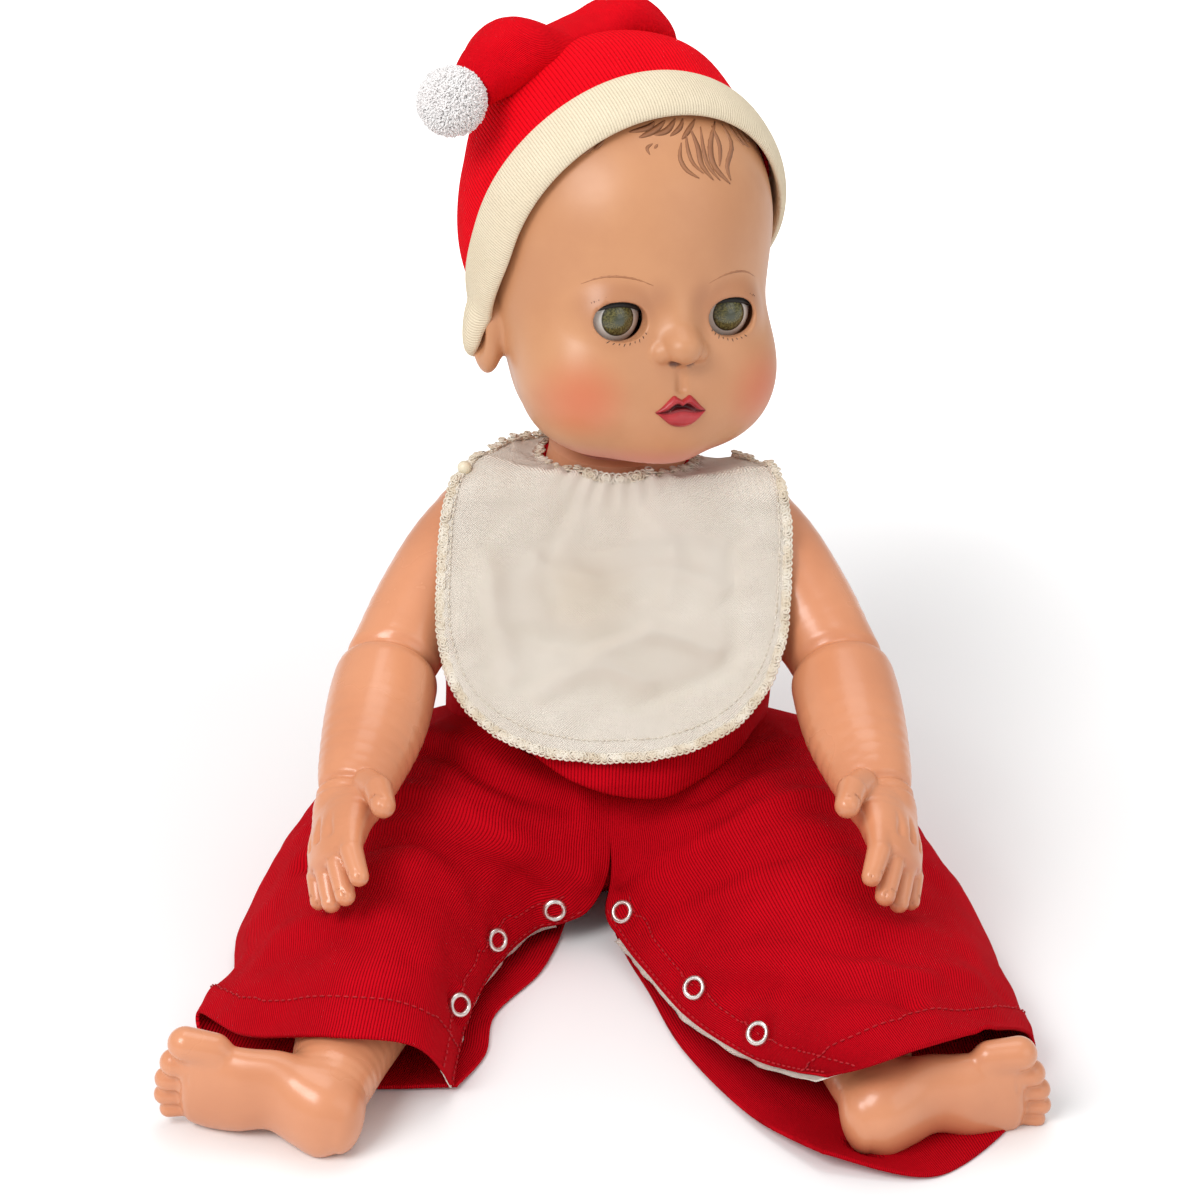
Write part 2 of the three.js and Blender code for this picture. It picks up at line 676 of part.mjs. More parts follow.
// Knitted cap: a turned-back cuff, a crown whose point falls to the doll's right, and a pompom
{
  const rimFace = vec([0, Math.sin(rad(RIM_TILT)), Math.cos(rad(RIM_TILT))]);
  const past = (d) => beyond(vec(RIM_AT).addScaledVector(rimFace, d), rimFace);
  let inside = headSkin(HEAD_AROUND, HEAD_ROWS, GAP).intersect(up(headFloor - 4));
  ears(GAP).forEach((ear) => (inside = inside.add(ear)));
  const nape = up(headFloor + 2);
  const cuff = headSkin(HEAD_AROUND, HEAD_ROWS, GAP + CUFF_THICK)
    .intersect(past(0))
    .subtract(past(CUFF_WIDE))
    .subtract(inside);
  const tail = (grow) => tube(CAP_TAIL, 12, grow);
  const lining = headSkin(HEAD_AROUND, HEAD_ROWS, GAP + STAND_OFF).add(tail(-KNIT));
  let crown = headSkin(HEAD_AROUND, HEAD_ROWS, GAP + STAND_OFF + KNIT).add(tail(0));
  crown = crown.subtract(lining).subtract(inside);
  crown = crown.intersect(past(CUFF_WIDE + GAP));
  crown = crown.intersect(nape);
  const bobble = new THREE.IcosahedronGeometry(POMPOM_R, 2);
  const place = bobble.attributes.position;
  for (let i = 0; i < place.count; i++) {
    const p = vec([place.getX(i), place.getY(i), place.getZ(i)]);
    const bump = Math.sin(p.x * 0.9) * Math.sin(p.y * 0.9 + 1) * Math.sin(p.z * 0.9 + 2);
    p.multiplyScalar(1 + 0.06 * bump);
    place.setXYZ(i, p.x, p.y, p.z);
  }
  const pompom = solidOf(bobble.translate(...POMPOM_AT));
  const room = POMPOM_R + 1.2;
  const nest = ball(POMPOM_AT, [room, room, room], 16, 12);
  piece(headGroup, "hat_cuff", cuff.intersect(nape).subtract(nest), CREAM_KNIT);
  piece(headGroup, "hat_crown", crown.subtract(nest), RED_KNIT);
  piece(headGroup, "hat_pompom", pompom.subtract(inside), WHITE_YARN);
}

// A limb: moulded hollow, with a blind hole in its root face for the plug
function limb(outside, stations, plugR, deep, solidTo) {
  const core = stations.slice(2, solidTo).map((s) => ({
    at: s.at,
    wide: s.wide - WALL,
    tall: s.tall - WALL,
  }));
  core.unshift({ at: [-deep + 1, 0, 0], wide: plugR - 2, tall: plugR - 2 });
  return outside.subtract(tube(core, 8)).subtract(rod(plugR + GAP, [2, 0, 0], [-deep - GAP, 0, 0]));
}

function bent(from, heading, down, long) {
  const flat = vec([Math.cos(heading), Math.sin(heading), 0]);
  return [
    from[0] + flat.x * Math.cos(down) * long,
    from[1] + flat.y * Math.cos(down) * long,
    from[2] - Math.sin(down) * long,
  ];
}

function armSolid(grow) {
  let arm = tube(ARM, 12, grow);
  const path = ARM.map((s) => vec(s.at));
  const knuckle = ARM.length - 2;
  const { along, across } = sides(path, knuckle);
  const heading = Math.atan2(along.y, along.x);
  const drop = Math.asin(-along.z);
  const start = (f, back) =>
    path[knuckle].clone().addScaledVector(across, f.side).addScaledVector(along, -back).toArray();
  for (const f of FINGERS) {
    const turn = heading - rad(f.spread);
    const a = start(f, 0);
    const b = bent(a, turn, drop + rad(8), f.long * 0.5);
    const c = bent(b, turn, drop + rad(FINGER_CURL), f.long * 0.5);
    arm = arm.add(finger([a, b, c], [f.r, f.r, f.r * 0.86].map((r) => r + grow), 7));
  }
  const turn = heading - rad(THUMB.spread);
  const a = start(THUMB, THUMB.back);
  const b = bent(a, turn, drop + rad(6), THUMB.long * 0.55);
  const c = bent(b, turn - rad(22), drop + rad(10), THUMB.long * 0.45);
  return arm.add(finger([a, b, c], [THUMB.r, THUMB.r, THUMB.r * 0.85].map((r) => r + grow), 7));
}

function sideGroup(at, side) {
  const group = new THREE.Group();
  group.position.copy(at);
  group.scale.x = -side;
  doll.add(group);
  return group;
}

const armForm = limb(armSolid(0), ARM, ARM_PLUG_R, ARM_PLUG_DEEP, 8);
const shoulderPlug = plug(ARM_PLUG_R, ARM_FLANGE_R, WALL + GAP, ARM_PLUG_DEEP);
const mirrorX = new THREE.Matrix4().makeRotationZ(Math.PI);

// Foot: heel to toes across the end of the leg, sole forwards, the big toe on top
function footSolid() {
  const path = LEG.map((s) => vec(s.at));
  const { along } = sides(path, LEG.length - 2);
  const ankle = path[LEG.length - 2];
  const heading = vec([-Math.cos(rad(FOOT_TURN)), Math.sin(rad(FOOT_TURN)), 0]);
  const toe = heading.addScaledVector(along, -heading.dot(along)).normalize();
  const lift = toe.clone().cross(along).normalize();
  if (lift.z < 0) lift.negate();
  const rings = FOOT.map((f) => {
    const centre = ankle.clone().addScaledVector(toe, f.s).addScaledVector(along, f.deep);
    return ring(centre, along, lift, f.thick, f.half, 12);
  });
  let foot = skin(rings);
  for (const t of TOES) {
    const at = ankle.clone().addScaledVector(toe, t.s).addScaledVector(lift, t.up);
    at.addScaledVector(along, FOOT[FOOT.length - 1].deep - 1);
    foot = foot.add(ball(at.toArray(), [t.r * 1.25, t.r, t.r], 7, 5));
  }
  return foot;
}

const floor = (h) => beyond(vec([0, 0, h - HIP_Z]), Z);
const outer = beyond(vec([-GAP, 0, 0]), vec([-1, 0, 0]));
const legOutside = tube(LEG, 14).intersect(outer).add(footSolid()).intersect(floor(0));
const legForm = limb(legOutside, LEG, LEG_PLUG_R, LEG_PLUG_DEEP, 9);
const hipPlug = plug(LEG_PLUG_R, LEG_FLANGE_R, WALL + GAP, LEG_PLUG_DEEP);

// Overalls leg: a cloth tube over the leg, closed round the hip so that it turns with the leg
const lapCut = rod(LAP_R, [-GAP, 0, 0], [300, 0, 0], 36);

function trouserSolid(grow) {
  const cap = turned([
    [0, 0],
    [HIP_CAP_R - 1 + grow, 0],
    [HIP_CAP_R + grow, HIP_CAP_WIDE * 0.3],
    [HIP_CAP_R - 3 + grow, HIP_CAP_WIDE * 0.6],
    [HIP_CAP_R * 0.72 + grow, HIP_CAP_WIDE * 0.85],
    [HIP_CAP_R * 0.35 + grow, HIP_CAP_WIDE + grow],
    [0, HIP_CAP_WIDE + grow],
  ], 20);
  return moved(cap, mirrorX).add(tube(TROUSER, 16, grow));
}

const hemPath = TROUSER.map((s) => vec(s.at));
const hemSide = sides(hemPath, TROUSER.length - 1);

function trouserShell() {
  const last = TROUSER[TROUSER.length - 1];
  const inside = trouserSolid(-CLOTH).add(
    tube(
      [
        { at: last.at, wide: last.wide - CLOTH, tall: last.tall - CLOTH },
        {
          at: vec(last.at).addScaledVector(hemSide.along, 20).toArray(),
          wide: last.wide - CLOTH,
          tall: last.tall - CLOTH,
        },
      ],
      16,
    ),
  );
  const hipMouth = rod(HIP_CAP_R - CLOTH - 1, [6, 0, 0], [-6, 0, 0], 22);
  const hollow = inside.add(hipMouth).intersect(floor(CLOTH));
  return trouserSolid(0).subtract(hollow).intersect(floor(0)).subtract(lapCut);
}

const trouserForm = trouserShell().subtract(tube(LEG, 14, GAP));

// A point on the overalls leg, with the way out from it
function onTrouser(t, turn) {
  const i = Math.min(Math.floor(t), TROUSER.length - 2);
  const f = t - i;
  const blendKey = (key) => TROUSER[i][key] * (1 - f) + TROUSER[i + 1][key] * f;
  const at = vec(TROUSER[i].at).lerp(vec(TROUSER[i + 1].at), f);
  const { across, up: lift } = sides(hemPath, i);
  const outwards = across.clone().multiplyScalar(Math.cos(turn) / blendKey("wide"));
  outwards.addScaledVector(lift, Math.sin(turn) / blendKey("tall")).normalize();
  at.addScaledVector(across, blendKey("wide") * Math.cos(turn));
  return { at: at.addScaledVector(lift, blendKey("tall") * Math.sin(turn)), outwards };
}

function snapRing({ at, outwards }, on) {
  const inner = SNAP_R * 0.64;
  const ringSolid = turned(
    [
      [inner, 0],
      [SNAP_R, 0],
      [SNAP_R, SNAP_THICK * 0.6],
      [SNAP_R * 0.86, SNAP_THICK],
      [inner, SNAP_THICK],
      [inner, 0],
    ],
    14,
  );
  const turn = new THREE.Quaternion().setFromUnitVectors(X, outwards);
  const seat = at.clone().addScaledVector(outwards, SEAT_FROM);
  const placed = moved(ringSolid, new THREE.Matrix4().compose(seat, turn, vec([1, 1, 1])));
  return seated(placed, on, outwards.clone().negate());
}

// A flat strip along a row of points that each have a way out and a way across
function strip(places, wide, thick, off) {
  return skin(
    places.map(({ at, outwards, across }) =>
      [
        [-0.5, 0],
        [0.5, 0],
        [0.5, 1],
        [-0.5, 1],
      ].map(([w, t]) =>
        at.clone().addScaledVector(across, w * wide).addScaledVector(outwards, off + t * thick),
      ),
    ),
  );
}

const inseam = rad(INSEAM);
const facingPlaces = [];
for (let t = 2.6; t <= 5.95; t += 0.42) {
  const place = onTrouser(t, inseam + rad(FACING_TURN));
  const ahead = onTrouser(t + 0.05, inseam + rad(FACING_TURN)).at.sub(place.at).normalize();
  facingPlaces.push({ ...place, across: ahead.cross(place.outwards).normalize() });
}
const inwards = facingPlaces[0].outwards.clone().negate();
const facing = seated(strip(facingPlaces, FACING_WIDE, FACING_THICK, SEAT_FROM), trouserForm, inwards);

for (const side of [-1, 1]) {
  const name = side < 0 ? "right" : "left";
  const armGroup = sideGroup(shoulderAt(side), side);
  piece(armGroup, "arm_" + name, armForm, LIMB_VINYL);
  piece(armGroup, "shoulder_plug_" + name, moved(shoulderPlug, mirrorX), PLUG_PLASTIC);
  const legGroup = sideGroup(hipAt(side), side);
  piece(legGroup, "leg_" + name, legForm, LIMB_VINYL);
  piece(legGroup, "hip_plug_" + name, moved(hipPlug, mirrorX), PLUG_PLASTIC);
  piece(legGroup, "overalls_leg_" + name, trouserForm, RED_CORD);
  piece(legGroup, "inseam_facing_" + name, facing, WHITE_COTTON);
  LEG_SNAPS.forEach((t, i) =>
    piece(legGroup, "leg_snap_" + name + "_" + (i + 1), snapRing(onTrouser(t, inseam), trouserForm), STEEL),
  );
}

// The way out from the cloth of the overalls body
function clothOut(z, turn) {
  const rise = bodyPoint(z + 1, turn, 0, true).sub(bodyPoint(z - 1, turn, 0, true));
  const round = bodyPoint(z, turn + 0.02, 0, true).sub(bodyPoint(z, turn - 0.02, 0, true));
  return round.cross(rise).normalize();
}

// Overalls body: seat, belly and bib front, open at the hips, the arms and the neck
function inWorld(solid, at, side) {
  const matrix = new THREE.Matrix4().makeScale(-side, 1, 1).setPosition(at);
  const geometry = geometryOf(solid).applyMatrix4(matrix);
  if (side > 0) {
    const index = geometry.index.array;
    for (let i = 0; i < index.length; i += 3) [index[i], index[i + 1]] = [index[i + 1], index[i]];
  }
  return solidOf(geometry);
}

let overalls = bodySkin(CLOTH_ROWS, 22, 0, true);
overalls = overalls.subtract(
  bodySkin([CLOTH, ...CLOTH_ROWS.slice(1)], 22, -CLOTH, true),
);
overalls = overalls.subtract(box([-200, -200, OVERALLS_TOP], [200, 200, 300]));
for (const side of [-1, 1]) {
  const hole = shoulderAt(side).toArray();
  hole[0] += side * 16;
  overalls = overalls.subtract(ball(hole, ARMHOLE_R, 18, 12));
  const hip = hipAt(side);
  const out = (d) => hip.clone().addScaledVector(X, side * d).toArray();
  overalls = overalls.subtract(rod(HIP_CAP_R + 1.6, out(-GAP), out(200), 30));
  overalls = overalls.subtract(inWorld(trouserSolid(0.8).subtract(lapCut), hip, side));
}
piece(doll, "overalls_body", overalls, RED_CORD);

// The body as a field, for the strips that lie on it
function bodyField(p) {
  const key = p.y > spineY(p.z) ? "back" : "front";
  const a = (p.x - spineX(p.z)) / between(TORSO, "half", p.z);
  const b = (p.y - spineY(p.z)) / between(TORSO, key, p.z);
  return a * a + b * b - 1;
}

function bodyOut(p) {
  const step = 0.5;
  const g = [0, 1, 2].map((k) => {
    const ahead = p.clone().setComponent(k, p.getComponent(k) + step);
    const behind = p.clone().setComponent(k, p.getComponent(k) - step);
    return bodyField(ahead) - bodyField(behind);
  });
  return vec(g).normalize();
}

// A line over the shoulder at a fixed distance from the spine: up the front, then down the back
function overShoulder(x, share, from) {
  let low = SHOULDER_Z;
  let high = NECK_HEIGHT + 2;
  for (let n = 0; n < 30; n++) {
    const mid = (low + high) / 2;
    if (between(TORSO, "half", mid) > Math.abs(x)) low = mid;
    else high = mid;
  }
  const swing = Math.PI * share;
  const z = from + (low - from) * Math.sin(swing);
  const key = share > 0.5 ? "back" : "front";
  const left = Math.max(1 - (x / between(TORSO, "half", z)) ** 2, 0);
  const deep = between(TORSO, key, z) * Math.sqrt(left);
  return vec([spineX(z) + x, spineY(z) + (share > 0.5 ? deep : -deep), z]);
}

for (const side of [-1, 1]) {
  const name = side < 0 ? "right" : "left";
  const rings = [];
  for (let i = 0; i <= 12; i++) {
    const points = [];
    for (const [w, t] of [
      [-0.5, 0],
      [0.5, 0],
      [0.5, 1],
      [-0.5, 1],
    ]) {
      const at = overShoulder(side * STRAP_X + w * STRAP_WIDE, i / 12, STRAP_FROM);
      points.push(at.addScaledVector(bodyOut(at), 1 + t * CLOTH));
    }
    rings.push(points);
  }
  const strap = skin(rings).subtract(bodySkin(TORSO_ROWS, 18, GAP, false));
  piece(doll, "overalls_strap_" + name, strap, RED_CORD);
  const z = OVERALLS_TOP - 9;
  const turn = -Math.acos((side * STRAP_X) / (between(TORSO, "half", z) + between(EASE, "half", z)));
  const at = bodyPoint(z, turn, GAP, true);
  const outwards = clothOut(z, turn);
  const face = new THREE.Quaternion().setFromUnitVectors(X, outwards);
  const disc = turned(
    [
      [0, 0],
      [STRAP_BUTTON_R, 0],
      [STRAP_BUTTON_R, 1.2],
      [STRAP_BUTTON_R * 0.8, 1.7],
      [0, 1.5],
    ],
    20,
  );
  at.addScaledVector(outwards, SEAT_FROM);
  const placed = moved(disc, new THREE.Matrix4().compose(at, face, vec([1, 1, 1])));
  const button = seated(placed, overalls, outwards.clone().negate());
  piece(doll, "strap_button_" + name, button, BUTTON_PLASTIC);
}

// Two snaps on the crotch seam of the overalls body
[-1, 1].forEach((side) => {
  const name = side < 0 ? "right" : "left";
  const turn = -Math.PI / 2 + side * 0.3;
  const at = bodyPoint(16, turn, 0, true);
  const outwards = clothOut(16, turn);
  piece(doll, "crotch_snap_" + name, snapRing({ at, outwards }, overalls), STEEL);
});

// Bib: a round cloth that hangs from the neck over the chest and lies on the arms
const bibMiddle = BIB_LONG / 2 + 1;

function bibEdge(turn) {
  let near = BIB_NECK_R;
  let far = BIB_LONG + 10;
  for (let n = 0; n < 30; n++) {
    const mid = (near + far) / 2;
    const across = Math.abs(mid * Math.sin(turn)) / BIB_HALF;
    const down = (mid * Math.cos(turn) - bibMiddle) / (BIB_LONG / 2);
    const power = down < 0 ? 3.6 : 2.5;
    if (across ** power + Math.abs(down) ** power < 1) near = mid;
    else far = mid;
  }
  return near;
}

const chest = [];
for (let z = NECK_HEIGHT + 4; z > 40; z -= 2) {
  const least = CLOTH + BIB_OFF;
  const eased = z < OVERALLS_TOP + 2 ? between(EASE, "front", z) + BIB_OFF : least;
  chest.push([spineY(z) - between(TORSO, "front", z) - Math.max(eased, least), z]);
}

function bibAt(across, down) {
  let y = spineY(NECK_HEIGHT + 4) - Math.min(down, BIB_NECK_R);
  let z = chest[0][1] + 3 - (3 * Math.min(down, BIB_NECK_R)) / BIB_NECK_R;
  let left = down - BIB_NECK_R;
  for (let i = 1; i < chest.length && left > 0; i++) {
    const step = Math.hypot(chest[i][0] - chest[i - 1][0], chest[i][1] - chest[i - 1][1]);
    const part = Math.min(left / step, 1);
    y = chest[i - 1][0] + (chest[i][0] - chest[i - 1][0]) * part;
    z = chest[i - 1][1] + (chest[i][1] - chest[i - 1][1]) * part;
    left -= step;
  }
  const low = THREE.MathUtils.smoothstep(down, 20, 75);
  const wide = Math.abs(across) / BIB_HALF;
  y += BIB_WRAP * low * wide * wide;
  z -= (1 - low) * Math.max(Math.abs(across) - 30, 0) * 0.16;
  const fold = 1.6 * low * wide * Math.sin(across * 0.14) * Math.sin(down * 0.05);
  const p = vec([spineX(z) + across, y - fold, z]);
  while (inArm(p)) p.y -= 0.5;
  return p;
}

// Whether a point is inside an arm or nearer to it than the clearance
function inArm(p) {
  const side = p.x < spineX(SHOULDER_Z) ? -1 : 1;
  const q = p.clone().sub(shoulderAt(side));
  q.x *= -side;
  const path = new THREE.Line3();
  const near = new THREE.Vector3();
  return ARM.slice(0, -1).some((s, i) => {
    path.set(vec(s.at), vec(ARM[i + 1].at));
    const t = path.closestPointToPointParameter(q, true);
    path.at(t, near);
    return q.distanceTo(near) < s.wide * (1 - t) + ARM[i + 1].wide * t + GAP;
  });
}

function bibOut(across, down) {
  const a = bibAt(across + 0.5, down).sub(bibAt(across - 0.5, down));
  const b = bibAt(across, down + 0.5).sub(bibAt(across, down - 0.5));
  return b.cross(a).normalize();
}

const bibPlace = (turn, far, off) => {
  const across = far * Math.sin(turn);
  const down = far * Math.cos(turn);
  const out = bibOut(across, down);
  if (out.y > 0.2) out.negate();
  return bibAt(across, down).addScaledVector(out, off);
};

function bibSheet(inner, outer, thick, slices, rows, off) {
  const top = [];
  const under = [];
  for (let i = 0; i <= slices; i++) {
    const turn = rad(BIB_END) * (1 - (2 * i) / slices);
    const edge = bibEdge(turn);
    for (let r = 0; r <= rows; r++) {
      const far = inner(edge) + ((outer(edge) - inner(edge)) * r) / rows;
      top.push(bibPlace(turn, far, off + thick));
      under.push(bibPlace(turn, far, off));
    }
  }
  const points = [...top, ...under];
  const across = rows + 1;
  const base = top.length;
  const faces = [];
  const quad = (a, b, c, d) => faces.push(a, b, c, a, c, d);
  for (let i = 0; i < slices; i++) {
    for (let r = 0; r < rows; r++) {
      const a = i * across + r;
      quad(a, a + 1, a + across + 1, a + across);
      quad(base + a, base + a + across, base + a + across + 1, base + a + 1);
    }
    const a = i * across;
    const b = a + rows;
    quad(a, a + across, base + a + across, base + a);
    quad(b, base + b, base + b + across, b + across);
  }
  const end = slices * across;
  for (let r = 0; r < rows; r++) {
    quad(r, base + r, base + r + 1, r + 1);
    quad(end + r, end + r + 1, base + end + r + 1, base + end + r);
  }
  const geometry = new THREE.BufferGeometry().setFromPoints(points);
  geometry.setIndex(faces);
  let solid = solidOf(geometry);
  if (solid.volume() < 0) {
    geometry.setIndex(faces.reverse());
    solid = solidOf(geometry);
  }
  for (const side of [-1, 1]) solid = solid.subtract(inWorld(armSolid(GAP), shoulderAt(side), side));
  return solid;
}

piece(
  doll,
  "bib_cloth",
  bibSheet(() => BIB_NECK_R, (edge) => edge, BIB_THICK, 26, 7, 0),
  WHITE_COTTON,
);
piece(
  doll,
  "bib_lace",
  bibSheet((edge) => edge + GAP * 1.6, (edge) => edge + LACE_WIDE, BIB_THICK * 0.8, 34, 1, 0),
  WHITE_COTTON,
);

// Neckband: a narrow cloth band from one end of the bib round the back of the neck to the other
{
  const low = onNeck(7.4).toArray();
  const high = onNeck(7.4 + BAND_WIDE).toArray();
  const out = BIB_NECK_R + BIB_THICK;
  const back = beyond(onNeck(0).add(vec([0, 3, 0])), vec([0, 1, 0]));
  const inner = rod(BIB_NECK_R - 0.6, onNeck(-9).toArray(), onNeck(30).toArray(), 26);
  const band = rod(out, low, high, 26).subtract(inner);
  piece(doll, "bib_neckband", band.intersect(back), WHITE_COTTON);
  const turn = -rad(BEAD_TURN);
  const at = bibPlace(turn, bibEdge(turn) - 3, BIB_THICK + GAP + BEAD_R * 0.7);
  piece(doll, "bib_bead", ball(at.toArray(), [BEAD_R, BEAD_R, BEAD_R * 0.7], 10, 6), BUTTON_PLASTIC);
}

export default doll;
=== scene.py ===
"""A seated baby doll in a knitted cap, a lace-edged bib and corduroy overalls."""

import json
import math

import bmesh
import bpy
import numpy as np
import openvdb
from mathutils import Matrix, Vector


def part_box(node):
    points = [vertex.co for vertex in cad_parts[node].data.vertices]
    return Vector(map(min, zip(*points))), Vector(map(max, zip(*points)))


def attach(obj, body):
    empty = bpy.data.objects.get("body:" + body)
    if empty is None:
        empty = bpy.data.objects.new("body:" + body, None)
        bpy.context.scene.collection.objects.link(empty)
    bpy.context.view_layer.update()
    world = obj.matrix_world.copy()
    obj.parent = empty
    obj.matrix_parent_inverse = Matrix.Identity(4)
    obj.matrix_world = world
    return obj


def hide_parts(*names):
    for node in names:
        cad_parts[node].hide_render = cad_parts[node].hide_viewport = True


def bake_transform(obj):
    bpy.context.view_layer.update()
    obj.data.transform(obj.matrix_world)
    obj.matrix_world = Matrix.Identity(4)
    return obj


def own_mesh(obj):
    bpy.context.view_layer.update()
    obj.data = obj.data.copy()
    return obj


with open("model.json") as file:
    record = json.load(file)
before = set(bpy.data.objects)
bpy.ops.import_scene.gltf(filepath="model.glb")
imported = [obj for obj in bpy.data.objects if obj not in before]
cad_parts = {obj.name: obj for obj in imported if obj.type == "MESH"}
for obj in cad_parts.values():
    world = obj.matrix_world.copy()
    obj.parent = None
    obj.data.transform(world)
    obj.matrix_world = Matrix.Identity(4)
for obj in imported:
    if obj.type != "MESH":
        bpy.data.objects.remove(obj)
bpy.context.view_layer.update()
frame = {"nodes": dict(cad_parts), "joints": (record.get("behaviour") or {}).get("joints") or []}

MM = 0.001
SIDES = {"right": -1, "left": 1}
JOINTS = {joint["name"]: joint for joint in frame["joints"]}

# View: the camera's height angle, its distance and the point it looks at, in millimetres
VIEW_UP = 28
VIEW_FAR = 1350
VIEW_AT = (-0.8, 0, 116.6)
VIEW_LENS = 101.25

# Strength of the surrounding light on matt surfaces and in reflections
WORLD_LIGHT = 0.62
WORLD_MIRRORED = 0.4

# Head, in its own millimetres: across, back and up from the neck joint, with the face to the front
SKULL = ((0, 6, 101), (60, 65, 63))
JAW = ((0, -13, 57), (50, 45, 43))
NAPE = ((0, 4, 38), (40, 40, 30))
CHEEK = ((26, -33, 46.5), (24, 24, 24))
CHIN = ((0, -45, 27), (13.8, 12, 12))
JOWL = ((0, -27, 36), (42, 31, 22))
EAR = ((55, 4, 58), (6, 10, 17))
NECK_HOLE_R = 17.4
HEAD_FLOOR = 13.8
EYE = (23.2, -41, 72)
EYE_R = 12
EYE_OPEN = (10.4, 7.6)
IRIS_R = 6.6
LID_EDGE = 28
LID_BACK = 112
LID_HALF = 62
LID_DROOP = 9
MOUTH = ((0, -59, 38.6), (6.6, 4.4, 2.2))
BLUSH_AT = (36, -28, 42)

# Half of each line of the lips, then one brow: places across and up
LIP_TOP = [(0, 41.8), (1.5, 42.6), (3.2, 43.5), (5.2, 42.1), (7.6, 39.6), (10.4, 37.1)]
PART_TOP = [(0, 39.6), (1.6, 40.5), (3.2, 40.2), (5.6, 38.6), (8, 37.5), (10.4, 37)]
PART_LOW = [(0, 37.9), (1.6, 37.8), (3.2, 37.4), (5.6, 36.9), (8, 36.8), (10.4, 36.9)]
LIP_LOW = [(0, 31), (2, 31.2), (4.4, 32.1), (6.8, 33.9), (8.8, 35.7), (10.4, 36.8)]
BROW = [(11.6, 85.6), (18, 88), (25, 88.8), (31, 87.8), (36.4, 85)]

# Cap
RIM_AT = (0, -40, 146)
RIM_TILT = 66
CUFF_WIDE = 20
NAPE_RISE = 36
CROWN_LOOP = 1.4
CUFF_LOOP = 1.1
POMPOM_AT = (-74, -1, 149)
POMPOM_R = 13

# The cuff's section: distance behind its front edge, distance off the head
CUFF_PROFILE = [
    (16.0, 2.9),
    (8.0, 2.6),
    (1.0, 2.3),
    (-1.6, 3.3),
    (-1.2, 5.0),
    (1.5, 6.6),
    (6.0, 7.2),
    (12.0, 7.0),
    (17.0, 6.6),
    (19.6, 6.0),
    (20.2, 5.0),
    (19.4, 4.2),
]

# The fallen point of the cap: place, half width, half height
CAP_TAIL = [
    (8, 28, 122, 18, 16),
    (18, 42, 146, 20, 15),
    (22, 40, 165, 19, 11),
    (10, 32, 174.5, 20, 10),
    (-9, 27, 170.5, 20, 8),
    (-25, 23, 165.5, 20, 9.5),
    (-42, 16, 165, 19, 14),
    (-55, 9, 159, 15, 12.5),
    (-65, 3, 152.5, 9, 8.5),
]

# Torso: height, half width, front depth, back depth
TORSO = [
    (2.2, 26, 24, 26),
    (12, 40, 38, 40),
    (32, 47, 48, 46),
    (56, 53, 55, 45),
    (80, 54, 55, 42),
    (104, 47, 50, 39),
    (124, 40.2, 43, 36),
    (140, 39.5, 36, 33),
    (152, 34, 31, 30),
    (160, 29.5, 28, 28),
    (167, 27.5, 27.5, 27.5),
    (171, 27.2, 27.2, 27.2),
]
LEAN_BACK = math.tan(math.radians(12))
LEAN_SIDE = math.tan(math.radians(2))

# Right arm from the shoulder joint: place, half width, half height
ARM = [
    (0, 0, 0, 18, 18),
    (-11, 0, 0, 20, 20),
    (-24, -14, -8, 21, 21),
    (-38, -34, -22, 20, 20),
    (-49, -54, -34, 18, 18),
    (-52, -68, -39, 20.5, 20),
    (-55, -90, -45, 20, 19),
    (-59, -112, -51, 16.5, 15.5),
    (-61.3, -123, -54.4, 13.8, 12),
    (-63.5, -133, -57.6, 15.2, 10),
    (-66, -145, -61.5, 16.5, 9),
    (-67.5, -153, -64, 14, 6.5),
]

# Fingers and thumb: place across the palm, length, radius, spread in degrees
FINGERS = [(-11, 24, 4.6, -8), (-3.7, 27, 4.7, -1), (3.7, 25, 4.5, 6), (10.6, 20, 4.1, 14)]
FINGER_CURL = 28
THUMB = (-13, 22, 5.8, -48)
THUMB_BACK = 20
HAND_ROLL = 52

# Right leg from the hip joint: place, half width, half height
LEG = [
    (0, 0, 0, 27, 27),
    (-10, 0, 0, 30, 30),
    (-20, -18, 0, 30, 30),
    (-25, -43, -1, 29, 29),
    (-29, -69, -2, 27.5, 27.5),
    (-34, -94, -4, 25, 25),
    (-40, -120, -6, 24.5, 24),
    (-46, -147, -9, 22, 21.5),
    (-51, -169, -12, 18.5, 17.5),
    (-54, -186, -14, 15.5, 15),
    (-56, -200, -15, 12.5, 12),
]
FOOT_WAY = (-0.942, 0.304, 0.142)

# Foot along its way from the ankle: place, middle depth, half depth, half height, middle height
FOOT = [
    (-11, 16.5, 9.5, 12, -4),
    (-4, 15.5, 12.5, 16, -5),
    (7, 13.5, 13, 17, -3),
    (17, 14, 11, 17, -1),
    (28, 16.5, 10, 18.5, -3),
    (38, 18, 8.5, 19.3, -4),
    (45, 19, 7.8, 18.6, -4),
]

# Toes: place of the tip, height, radius, place of the root
TOES = [
    (50, 14.6, 6.4, 40),
    (54, 4, 5.2, 42),
    (56.5, -4.8, 4.4, 45),
    (57, -12.6, 3.9, 47),
    (55, -18.8, 3.4, 47),
]
TOE_DEPTH = 21
LEFT_FOOT_SHEAR = 0.09


# Numbers and curves


def unit(v):
    v = np.asarray(v, float)
    return v / np.maximum(np.linalg.norm(v, axis=-1, keepdims=True), 1e-9)


def ease(low, high, value):
    """Rises smoothly from 0 at low to 1 at high."""
    t = np.clip((np.asarray(value, float) - low) / (high - low), 0, 1)
    return t * t * (3 - 2 * t)


